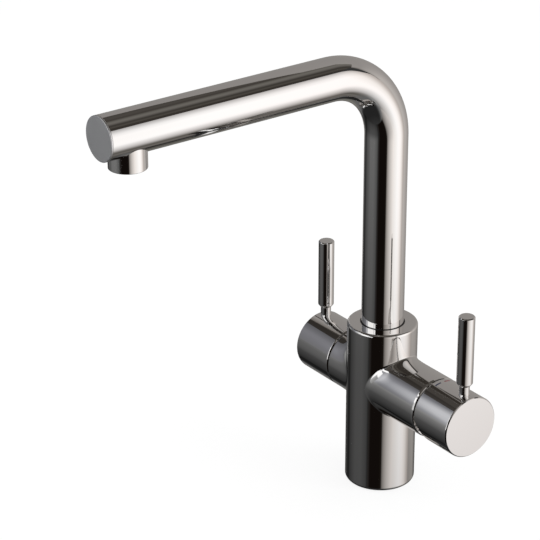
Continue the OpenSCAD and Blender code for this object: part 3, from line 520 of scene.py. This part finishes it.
def makeCap():
    c, skin, e = cap, Skin(), spout["end"]
    lathe(skin, profile([(0, c["plugBack"]), (c["plug"], c["plugBack"]), (c["plug"], e), (c["radius"], e),
                         (c["radius"], c["face"]), (0, c["face"])], {3: c["backEdge"], 4: c["round"]}, 8),
          fine, along)
    return skin.build("spoutEndCap", "spout", "end_cap", ["spout_end_cap"])


makeCap()

# nozzle: a short round housing saddled under the tube
nozzle = dict(radius=12.7, bore=10.8, bottom=291.4, chamfer=0.4, mouthEdge=0.3, saddle=15.0, rows=12)


def makeNozzle():
    n, skin = nozzle, Skin()
    put = place((0, -spout["nozzleBack"], 0), (0, 0, 1), (1, 0, 0), (0, 1, 0))
    s, k = np.sin(np.radians(fine)), np.cos(np.radians(fine))

    def ring(radius, z):
        return np.stack([radius * s, z + 0 * s, radius * k], -1)

    def saddle(radius):
        return ring(radius, spout["axis"] - np.sqrt(n["saddle"] ** 2 - (radius * s) ** 2))

    low = n["bottom"]
    rows = profile([(n["bore"], low + lead), (n["bore"], low), (n["radius"], low), (n["radius"], low + lead)],
                   {1: n["mouthEdge"], 2: n["chamfer"]})
    lathe(skin, rows[1:-1], fine, put)
    for radius, way, edge in ((n["radius"], 1.0, n["chamfer"]), (n["bore"], -1.0, n["mouthEdge"])):
        band(skin, ring(radius, low + edge), saddle(radius), ring(way, 0.0), put, n["rows"])
    band(skin, saddle(n["bore"]), saddle(n["radius"]), np.array([0, 1.0, 0]), put)
    return skin.build("nozzleHousing", "spout", "chrome", ["nozzle_housing"])


makeNozzle()
print("scene: spout built")


# what both hubs share: sizes, the lever's seat and the grub screw's hole, and their windows in the wall's grid
# (spans in degrees, rooms and rows in mm); the wall's grid goes from plain to wallEnd short of the face
hub = dict(radius=22.2, inner=20.2, chamfer=0.8, faceRounds={1: 0.9, 2: 0.15}, plain=11.2, wallEnd=1.3,
           hollow=15.7, stemHole=4.05, stemEnd=22.7, screw=2.0, screwAt=19.2, screwEnd=4.05, screwSpan=10,
           screwRows=(15.4, 21.6), lever=3.75, leverFloor=21.0, leverSpan=18, leverRoom=4.3,
           rimRows=6, tail=3.05, tailEnd=11.2)
# what differs: the mixer's is cut away underneath at 24 degrees so that it can tip; start and leverAt are x;
# rim = chamfer and rounding of the open edge, rows = (height, count) in the wall's grid
hubs = dict(mixer=dict(start=62.6, length=34.1, leverBack=7.8, leverAt=88.9, relief=24.0, rim=(0.5, 0.6),
                       rows=((15.4, 4), (22.6, 9), (31.0, 11))),
            boiling=dict(start=-34.5, length=36.9, leverBack=6.2, leverAt=-65.2, relief=0.0, rim=(0.8, 1.0),
                         rows=((15.4, 4), (23.0, 9), (26.0, 4), (35.4, 11))))


def hubRim(skin, put, turns, lean, own):
    # one half of the open rim, leaning by lean degrees
    g, r, c, (bevel, rounding) = hub, hub["radius"], hub["chamfer"], own["rim"]
    s, k = np.sin(np.radians(turns)), np.cos(np.radians(turns))
    slope = math.tan(math.radians(own["relief"]))
    radial = np.stack([s, 0 * s, k], -1)
    flat = np.array([0, -math.cos(math.radians(lean)), -math.sin(math.radians(lean))])

    def lift(radius):
        return np.maximum(0, -radius * k) * slope

    def ring(radius, h):
        return np.stack([radius * s, h + 0 * s, radius * k], -1)

    edge = profile([(r, -lead), (r, -bevel), (r - bevel, 0)], {1: rounding})[1:]
    skin.grid(put(np.stack([ring(q, lift(q) - h) for q, h, _, _ in edge])),
              put(np.stack([radial * out + flat * down for _, _, out, down in edge]), True))
    q, inner = g["inner"] + c, g["inner"]
    band(skin, ring(r, g["plain"]), ring(r, lift(r) - edge[0][1]), radial, put, g["rimRows"])
    band(skin, ring(r - bevel, lift(r - bevel)), ring(q, lift(q)), flat, put)
    band(skin, ring(q, lift(q)), ring(inner, lift(inner) + c), flat - radial, put)
    band(skin, ring(inner, lift(inner) + c), ring(inner, g["hollow"]), -radial, put, g["rimRows"])


def makeHub(name, bodyName, node, put, own):
    g, skin = hub, Skin()
    r, c, length, at = g["radius"], g["chamfer"], own["length"], own["length"] - own["leverBack"]
    around = np.arange(-90, 271, 2.0)
    v = np.array([g["plain"]])
    for height, count in own["rows"]:
        v = np.concatenate([v, np.linspace(v[-1], height, count)[1:]])
    v = np.append(v, length - g["wallEnd"])
    leverWindow = v[v < at - g["leverRoom"]][-1], v[v > at + g["leverRoom"]][0]
    screwWindow = g["screwRows"][0], v[v > g["screwRows"][1]][0]
    holes = [((-g["leverSpan"], g["leverSpan"]), leverWindow, (0, at), roundHole(g["lever"], r, 0.0, at)),
             ((180 - g["screwSpan"], 180 + g["screwSpan"]), screwWindow, (180, g["screwAt"]),
              roundHole(g["screw"], r, 180.0, g["screwAt"]))]
    seat, screw = wall(skin, tube(r, put), around, v, holes)
    # the lever's seat and the grub screw's hole
    tail = [(g["tail"], g["leverFloor"]), (g["tail"], g["tailEnd"]), (0, g["tailEnd"])]
    for t, radius, up, h, floor, more in (
            (seat, g["lever"], 1.0, at, g["leverFloor"], tail),
            (screw, g["screw"], -1.0, g["screwAt"], g["screwEnd"], [(0, g["screwEnd"])])):
        s, k = np.sin(np.radians(t)), np.cos(np.radians(t))
        top = np.stack([up * radius * s, h + radius * k, up * np.sqrt(r ** 2 - (radius * s) ** 2)], -1)
        low = top.copy()
        low[:, 2] = up * floor
        band(skin, top, low, -np.stack([up * s, k, 0 * s], -1), put)
        spot = place(put(np.array([0, h, 0.0])), put(np.array([0, 0, up]), True),
                     put(np.array([up, 0, 0.0]), True), put(np.array([0, 1.0, 0]), True))
        lathe(skin, profile([(radius, floor)] + more), t, spot)
    # rim, in an upper half that faces the arm and a lower half that may slope away
    hubRim(skin, put, around[around <= 90], 0.0, own)
    hubRim(skin, put, around[around >= 90], own["relief"], own)
    lathe(skin, profile([(r, length - g["wallEnd"]), (r, length - c), (r - c, length), (0, length)],
                        g["faceRounds"]), around, put)
    rows = profile([(0, g["stemEnd"]), (g["stemHole"], g["stemEnd"]), (g["stemHole"], g["hollow"]),
                    (g["inner"], g["hollow"])])
    lathe(skin, rows[::-1] * [1, 1, -1, -1], around, put)  # known fault: these faces look into the metal
    return skin.build(name, bodyName, "chrome", [node])


lever = dict(tail=3.0, tailFrom=11.2, sink=21.0, neck=3.7, foot=29.2, step=0.3, cone=2.0, grip=5.7, top=81.2,
             chamfer=0.7, rounds={5: 0.12, 6: 0.5, 7: 0.25, 8: 0.25})


def makeLever(name, bodyName, node, x):
    v, skin = lever, Skin()
    rows = profile([(0, v["tailFrom"]), (v["tail"], v["tailFrom"]), (v["tail"], v["sink"]),
                    (v["neck"], v["sink"]), (v["neck"], v["foot"]), (v["neck"] + v["step"], v["foot"]),
                    (v["grip"], v["foot"] + v["cone"]), (v["grip"], v["top"] - v["chamfer"]),
                    (v["grip"] - v["chamfer"], v["top"]), (0, v["top"])], v["rounds"])
    lathe(skin, rows, fine, place((x, 0, body["armZ"]), (0, 0, 1), (0, 1, 0), (1, 0, 0)))
    return skin.build(name, bodyName, "chrome", [node])


mixerAt = place((hubs["mixer"]["start"], 0, body["armZ"]), (1, 0, 0), (0, 1, 0), (0, 0, 1))
boilingAt = place((hubs["boiling"]["start"], 0, body["armZ"]), (-1, 0, 0), (0, -1, 0), (0, 0, 1))
makeHub("mixerHub", "mixer_handle", "mixer_hub", mixerAt, hubs["mixer"])
makeHub("boilingHub", "boiling_handle", "boiling_hub", boilingAt, hubs["boiling"])
makeLever("mixerLever", "mixer_handle", "mixer_lever", hubs["mixer"]["leverAt"])
makeLever("boilingLever", "boiling_handle", "boiling_lever", hubs["boiling"]["leverAt"])

# dome over the cartridge, seen through the relief under the hub
dome = dict(centre=58.0, radius=19.7, wall=1.5, start=3.8, end=14.0, skirt=(14.5, 16.0), skirtFrom=1.4,
            base=5.0, rows=24)


def makeDome():
    d, skin = dome, Skin()
    put = place((d["centre"], 0, body["armZ"]), (1, 0, 0), (0, 1, 0), (0, 0, 1))
    outer, inner = d["radius"], d["radius"] - d["wall"]

    def rim(radius, h):
        return math.sqrt(radius ** 2 - h ** 2), h

    def ball(radius, low, high, way):
        return [[radius * math.cos(e), radius * math.sin(e), way * math.cos(e), way * math.sin(e)]
                for e in np.linspace(math.asin(low / radius), math.asin(high / radius), d["rows"])]

    skirtIn, skirtOut = d["skirt"]
    rows = [profile([(skirtIn, d["skirtFrom"]), (skirtOut, d["skirtFrom"]), (skirtOut, d["start"]),
                     rim(outer, d["start"])]),
            ball(outer, d["start"], d["end"], 1.0),
            profile([rim(outer, d["end"]), rim(inner, d["end"])]),
            ball(inner, d["end"], d["base"], -1.0),
            profile([rim(inner, d["base"]), (skirtIn, d["base"]), (skirtIn, d["skirtFrom"])])]
    lathe(skin, np.concatenate(rows), fine, put)
    return skin.build("cartridgeDome", "base", "chrome", ["mixer_dome"])


makeDome()

# enamel marks, a hair proud of the top of the mixer's hub: blue towards the spout, red towards the back
mark = dict(start=3.2, width=1.3, edge=4.0, span=13.0, proud=0.04, deep=0.4, round=0.45, turnStep=15.0,
            rows=6)


def makeMark(name, node, look, middle):
    m, skin, r = mark, Skin(), hub["radius"]
    half, arc = m["width"] / 2, math.radians(m["span"]) / 2 * r
    t = np.radians(np.arange(0, 361, m["turnStep"]))
    corner = np.stack([np.cos(t), np.sin(t)], -1)
    x = np.sign(corner[:, 0].round(9)) * (arc - m["round"]) + m["round"] * corner[:, 0]
    h = np.sign(corner[:, 1].round(9)) * (half - m["round"]) + m["round"] * corner[:, 1]
    share = np.linspace(0, 1, m["rows"])[:, None]

    def layer(radius, shares, way):
        angle = np.degrees(shares * x[None] / r) + middle
        return tube(radius, mixerAt, way)(angle, m["start"] + half + shares * h[None])

    skin.grid(*layer(r + m["proud"], share, 1.0))
    skin.grid(*layer(r - m["deep"], share, -1.0))
    top, bottom = (layer(k, np.ones((1, 1)), 1.0)[0][0] for k in (r + m["proud"], r - m["deep"]))
    band(skin, top, bottom, top - top.mean(0))
    return skin.build(name, "mixer_handle", look, [node])


makeMark("coldMark", "cold_mark", "cold_enamel", -(mark["edge"] + mark["span"] / 2))
makeMark("hotMark", "hot_mark", "hot_enamel", mark["edge"] + mark["span"] / 2)
print("scene: hubs and levers built")


# studio: panels about the tap that only mirrors see; they glow, walls, ceiling and floors as well as softboxes,
# and their colours are the studio's light and shade painted as the plate shows them
plateShare = 0.83  # of the light that the plate returns
panelColumns = 49  # points along a panel's curve
seam = 8.0  # degrees before a panel's start, where its azimuth wraps


def glow(name, build):
    made = blank(name)
    tree = made.node_tree
    spot = add(tree, "ShaderNodeNewGeometry").outputs["Position"]
    spot = add(tree, "ShaderNodeSeparateXYZ", {"Vector": spot})
    light = add(tree, "ShaderNodeEmission", {"Color": build(tree, spot.outputs), "Strength": 1 / plateShare})
    add(tree, "ShaderNodeOutputMaterial", {"Surface": light.outputs["Emission"]})
    made.cycles.emission_sampling = "NONE"
    return made


def shareOf(tree, value, low, high):
    made = add(tree, "ShaderNodeMapRange", {"Value": value, "From Min": low, "From Max": high})
    return made.outputs["Result"]


def ramp(tree, value, stops, unit=1.0):
    # stops are (place, sRGB hex or linear grey)
    low, high = stops[0][0], stops[-1][0]
    share = shareOf(tree, value, low * unit, high * unit)
    scaled = [((at - low) / (high - low), linear(c) if isinstance(c, str) else (c, c, c)) for at, c in stops]
    return add(tree, "ShaderNodeValToRGB", {"Fac": share}, stops=scaled).outputs["Color"]


def blend(tree, kind, a, b, share=1.0):
    made = add(tree, "ShaderNodeMix", {"Factor": share}, data_type="RGBA", blend_type=kind)
    tree.links.new(a, made.inputs[6])
    tree.links.new(b, made.inputs[7])
    return made.outputs[2]


def azimuthOf(tree, xyz, start, slant):
    # degrees from -Y towards +X, counted on from start; slant = (height in mm, degrees per mm above it)
    minusY = add(tree, "ShaderNodeMath", {0: xyz["Y"], 1: -1.0}, operation="MULTIPLY").outputs[0]
    angle = add(tree, "ShaderNodeMath", {0: xyz["X"], 1: minusY}, operation="ARCTAN2").outputs[0]
    degrees = add(tree, "ShaderNodeMath", {0: angle, 1: math.degrees(1.0), 2: -start}, operation="MULTIPLY_ADD")
    around = add(tree, "ShaderNodeMath", {0: degrees.outputs[0], 1: turn, 2: 0.0}, operation="WRAP").outputs[0]
    azimuth = add(tree, "ShaderNodeMath", {0: around, 1: start}, operation="ADD").outputs[0]
    if not slant:
        return azimuth
    above = add(tree, "ShaderNodeMath", {0: xyz["Z"], 1: slant[0] * mm}, operation="SUBTRACT").outputs[0]
    above = add(tree, "ShaderNodeMath", {0: above, 1: 0.0}, operation="MAXIMUM").outputs[0]
    leaning = add(tree, "ShaderNodeMath", {0: above, 1: slant[1] / mm, 2: azimuth}, operation="MULTIPLY_ADD")
    return leaning.outputs[0]


def standing(name, points, faces, build):
    mesh = bpy.data.meshes.new(name)
    mesh.from_pydata([tuple(c * mm for c in p) for p in points], [], faces)
    mesh.materials.append(glow(name, build))
    made = bpy.data.objects.new(name, mesh)
    bpy.context.scene.collection.objects.link(made)
    for ray in ("camera", "diffuse", "transmission", "volume_scatter", "shadow"):
        setattr(made, "visible_" + ray, False)


def panel(name, radius, low, top, levels, upward, slant=None):
    # top = heights by azimuth; levels = colours by azimuth at one or more heights;
    # upward = brightness by height
    def build(tree, xyz):
        azimuth = azimuthOf(tree, xyz, top[0][0] - seam, slant)
        colour = ramp(tree, azimuth, levels[0][1])
        for (below, _), (above, stops) in zip(levels, levels[1:]):
            share = shareOf(tree, xyz["Z"], below * mm, above * mm)
            colour = blend(tree, "MIX", colour, ramp(tree, azimuth, stops), share)
        return blend(tree, "MULTIPLY", colour, ramp(tree, xyz["Z"], upward, mm))
    degrees = np.linspace(top[0][0], top[-1][0], panelColumns)
    heights = np.interp(degrees, *zip(*top))
    circle = [(radius * math.sin(math.radians(d)), -radius * math.cos(math.radians(d))) for d in degrees]
    points = [(x, y, low) for x, y in circle] + [(x, y, z) for (x, y), z in zip(circle, heights)]
    n = len(degrees)
    standing(name, points, [(i, i + 1, n + i + 1, n + i) for i in range(n - 1)], build)


floorZ, ceilingZ = -1450.0, 1500.0
# key softbox, right and behind the tap; its top edge falls away to the rear
panel("keySoftbox", 1300, floorZ,
      [(90, 1460), (120, 1460), (128, 1420), (135, 1310), (145, 1120), (151, 800), (157, 700)],
      [(0, [(90, "#ebe6e2"), (116, "#fffdfc"), (128, "#fffaf8"), (138, "#f0eae6"), (150, "#c4bcb7"),
            (157, "#aca49f")])],
      [(-1450, 0.22), (-1150, 0.43), (-850, 0.6), (-550, 0.78), (-350, 0.95), (-250, 0.99), (-100, 1.01),
       (550, 1.01), (850, 0.88), (1150, 0.62), (1460, 0.4)])
# dim wall behind the key, a faint glow: painted shade
panel("keyBacking", 1420, 500, [(88, 1500), (158, 1500)],
      [(0, [(88, 0.045), (158, 0.035)])], [(500, 1.0), (1500, 1.0)])
# wing of the key, towards the camera
panel("keyWing", 1290, floorZ, [(55, 1400), (91, 1400)],
      [(0, [(55, "#231f1d"), (58, "#706c68"), (62, "#918c88"), (72, "#b9b4b0"), (91, "#e4deda")])],
      [(-1450, 0.4), (-850, 0.74), (-600, 0.78), (-450, 0.88), (-250, 1.12), (30, 1.12), (150, 0.8), (700, 0.8),
       (1400, 0.5)])
# dark side, where the camera stands, a near-black glow: painted shade
panel("cameraSide", 1310, floorZ, [(9, 1500), (55.5, 1500)],
      [(0, [(9, "#2c2a28"), (13, "#221f1e"), (18, "#100c0a"), (48, "#100c0a"), (55.5, "#191511")])],
      [(-1450, 1.0), (1500, 1.0)])
# cool fill at the front left: dim below, a tall box above with a sharp upper edge
panel("lowerFill", 1300, floorZ, [(-97, 100), (10, 100)],
      [(-400, [(-97, 0.1), (-88, 0.03), (-75, 0.02), (-70, 0.05), (-40, 0.105), (-15, 0.11), (3, 0.075),
               (10, 0.02)]),
       (100, [(-97, 0.1), (-88, 0.03), (-75, 0.03), (-65, 0.05), (-46, 0.065), (-38, 0.12), (-10, 0.12),
              (10, 0.03)])],
      [(-1450, 0.3), (-850, 0.53), (-550, 0.63), (-350, 1.0), (-50, 1.5), (100, 2.1)])
panel("fillBox", 1300, 100, [(-97, 1130), (-67, 1130), (-60, 1215), (-56, 1225), (10, 1225)],
      [(100, [(-97, "#5a5a5c"), (-55, "#626264"), (-41, "#737376"), (-37, "#8e8f93"), (-27, "#898a8d"),
              (10, "#898a8d"), (20, "#38383a")]),
       (400, [(-97, "#5a5a5d"), (-70, "#5e5f62"), (-45, "#77777c"), (-41, "#8a8b91"), (-37, "#bfc0c4"),
              (-33, "#b9babf"), (-27, "#a0a1a5"), (10, "#a0a1a5"), (20, "#3a3a3c")])],
      [(100, 1.0), (400, 0.92), (600, 1.0), (750, 0.98), (850, 0.88), (950, 0.8), (1100, 0.68), (1225, 0.6)],
      (200, 0.0135))
# a soft glow farther round, which only the blend behind the boiling arm's groove can see
panel("sideGlow", 1288, -200, [(-80, 420), (-56, 420)],
      [(0, [(-80, 0.06), (-72, 0.27), (-66, 0.31), (-56, 0.125)])],
      [(-200, 0.45), (-50, 0.8), (80, 1.0), (250, 1.0), (420, 0.6)])
# warm dark wall above the box, a dim glow: painted shade
panel("overFill", 1312, 1000, [(-84, 1500), (10, 1500)],
      [(0, [(-84, "#2d2a27"), (-70, "#2f2c29"), (-60, "#393633"), (10, "#393633")])],
      [(1000, 1.0), (1500, 1.0)])
# white strips that only rounded edges and blends can see: one upright, one slanting over the box
panel("uprightStrip", 1270, -100, [(-36, 860), (2, 860), (5, 440), (22, 440)],
      [(380, [(-36, 0.26), (-28, 0.33), (-20, 0.45), (-14, 0.95), (-12, 1.0), (18, 1.0), (22, 0.5)]),
       (450, [(-36, 0.7), (-32, 1.0), (4, 1.0), (22, 0.5)])],
      [(-100, 1.0), (860, 1.0)])
slantLine = [(-52, 1235, 60), (-46, 1235, 100), (-35, 1200, 110), (-20, 1115, 105), (0, 910, 100),
             (12, 770, 90)]
standing("slantingStrip", [(1280 * math.sin(math.radians(d)), -1280 * math.cos(math.radians(d)), z + way * half)
                           for way in (-1, 1) for d, z, half in slantLine],
         [(i, i + 1, len(slantLine) + i + 1, len(slantLine) + i) for i in range(len(slantLine) - 1)],
         lambda tree, xyz: ramp(tree, xyz["X"], [(-1100, 0.6), (-900, 1.0), (400, 1.0)], mm))
# grey-brown backdrop behind the tap, even in the height; its glow is painted light and shade
wallTones = [(148, "#aaa5a1"), (165, "#b3aeaa"), (185, "#9f9a97"), (205, "#908c89"), (245, "#868380"),
             (252, "#7c7977"), (258, "#61605e"), (266, "#3f3e3d")]
panel("backdrop", 2300, floorZ, [(148, 4600), (266, 4600)],
      [(-1300, [(148, "#7c7875"), (160, "#85817e"), (185, "#908c88"), (205, "#575452"), (266, "#2b2a29")]),
       (-800, wallTones), (700, wallTones),
       (1700, [(148, "#383532"), (158, "#3f3c39"), (162, "#7d7976"), (166, "#8f8b88"), (266, "#868280")])],
      [(-1450, 0.9), (-600, 1.0), (4600, 1.0)])
# dark ceiling that ends short of the backdrop on the left, with one lighter strip along the spout; its glow is
# painted shade, and the strip is painted light for the spout to mirror
ceilingEdge = [(-1800, 520), (-1540, 490), (-1260, 450), (-1150, 610), (-980, 700), (-150, 735), (-60, 800),
               (0, 1000), (30, 1400), (2600, 1400)]
standing("ceiling", [(x, y, ceilingZ) for x, y in [(-1800, -2600)] + ceilingEdge + [(2600, -2600)]],
         [tuple(range(len(ceilingEdge) + 2))],
         lambda tree, xyz: ramp(tree, xyz["X"], [
             (-1800, "#383532"), (-450, "#484440"), (-210, "#3e3a36"), (0, "#625f5a"), (105, "#686560"),
             (210, "#625e5a"), (430, "#383531"), (680, "#4a4641"), (800, "#35312d"), (2600, "#35312d")], mm))
# a light gap in it at the far left, a paler glow: painted light
gapCorners = [(-1190, 240), (-1200, 330), (-1480, 395), (-1800, 400), (-1800, -450), (-1480, -100)]
standing("ceilingGap", [(x, y, ceilingZ - 2) for x, y in gapCorners], [tuple(range(len(gapCorners)))],
         lambda tree, xyz: ramp(tree, xyz["Y"], [(-450, "#6d6863"), (-100, "#6d6863"), (150, "#86827f"),
                                                 (330, "#918d8a")], mm))


def square(half, z):
    return [(x * half, y * half, z) for x, y in ((-1, -1), (1, -1), (1, 1), (-1, 1))]


# floor of the studio, far below, a glow of painted light and shade: dark in front, a painted pool of light
# towards the key, uneven at the back
def floorLight(tree, xyz):
    front = ramp(tree, xyz["Y"], [(-2600, 0.04), (-1300, 0.03), (-600, 0.016), (0, 0.016), (90, 0.03),
                                  (200, 0.08), (320, 0.11), (900, 0.12), (2600, 0.22)], mm)
    # painted pool of light from the key softbox
    key = ramp(tree, xyz["X"], [(-2600, 0.0), (750, 0.0), (900, 0.02), (1100, 0.11), (1300, 0.18),
                                (2600, 0.3)], mm)
    back = ramp(tree, xyz["X"], [(-2600, "#84807c"), (-1010, "#696863"), (-150, "#403d39"), (0, "#494541"),
                                 (300, "#6a6662"), (640, "#54514c"), (1010, "#84807c"), (2600, "#c8c4c0")], mm)
    share = shareOf(tree, xyz["Y"], 500 * mm, 850 * mm)
    return blend(tree, "MIX", blend(tree, "ADD", front, key), back, share)


standing("lowerFloor", square(2600, floorZ), [(0, 1, 2, 3)], floorLight)
print("scene: studio panels hung")


# floor, world and lamps: share of the floor's light is its own glow, so it stays nearly white under faint shadows
ground = dict(half=6.0, low=-0.05 * mm, pale=0.94, strength=1.04, share=0.8)  # low is just clear of the base


def makeFloor():
    g, made = ground, blank("pale floor")
    tree = made.node_tree
    pale = add(tree, "ShaderNodeBsdfDiffuse", {"Color": (g["pale"], g["pale"], g["pale"], 1.0)})
    light = add(tree, "ShaderNodeEmission", {"Color": (1.0, 1.0, 1.0, 1.0), "Strength": g["strength"]})
    mixed = add(tree, "ShaderNodeMixShader", {0: g["share"], 1: pale.outputs["BSDF"],
                                              2: light.outputs["Emission"]})
    add(tree, "ShaderNodeOutputMaterial", {"Surface": mixed.outputs["Shader"]})
    made.cycles.emission_sampling = "NONE"
    mesh = bpy.data.meshes.new("floor")
    mesh.from_pydata(square(g["half"], g["low"]), [], [(0, 1, 2, 3)])
    mesh.materials.append(made)
    made = bpy.data.objects.new("floor", mesh)
    bpy.context.scene.collection.objects.link(made)
    made.visible_glossy = False
    made.visible_diffuse = False


makeFloor()

softLight = 0.85  # strength of the world for rays that leave matt faces; all others see white
world = bpy.data.worlds.new("world")
world.use_nodes = True
bpy.context.scene.world = world
tree = world.node_tree
tree.nodes.clear()
ray = add(tree, "ShaderNodeLightPath").outputs
seen = add(tree, "ShaderNodeMath", {0: ray["Is Camera Ray"], 1: ray["Is Glossy Ray"]}, operation="ADD")
seen = add(tree, "ShaderNodeMath", {0: seen.outputs[0], 1: ray["Is Transmission Ray"]}, operation="ADD",
           use_clamp=True)
white, soft = [add(tree, "ShaderNodeBackground", {"Color": (1.0, 1.0, 1.0, 1.0), "Strength": strength})
               for strength in (1.0, softLight)]
both = add(tree, "ShaderNodeMixShader", {0: seen.outputs[0], 1: soft.outputs["Background"],
                                         2: white.outputs["Background"]})
add(tree, "ShaderNodeOutputWorld", {"Surface": both.outputs["Shader"]})


def lamp(name, at, to, size, power):
    data = bpy.data.lights.new(name, "AREA")
    data.shape, data.size, data.size_y, data.energy = "RECTANGLE", size[0] * mm, size[1] * mm, power
    made = bpy.data.objects.new(name, data)
    bpy.context.scene.collection.objects.link(made)
    at, to = Vector(at) * mm, Vector(to) * mm
    made.matrix_world = Matrix.Translation(at) @ (to - at).to_track_quat("-Z", "Y").to_matrix().to_4x4()
    made.visible_glossy = False
    made.visible_camera = False


lamp("keyLamp", (1150, 650, 700), (0, -50, 150), (900, 1000), 9.0)
lamp("fillLamp", (-900, -1000, 600), (0, -50, 150), (800, 800), 3.0)

bpy.context.scene.view_settings.view_transform = "Standard"
print("scene: floor and lamps set")
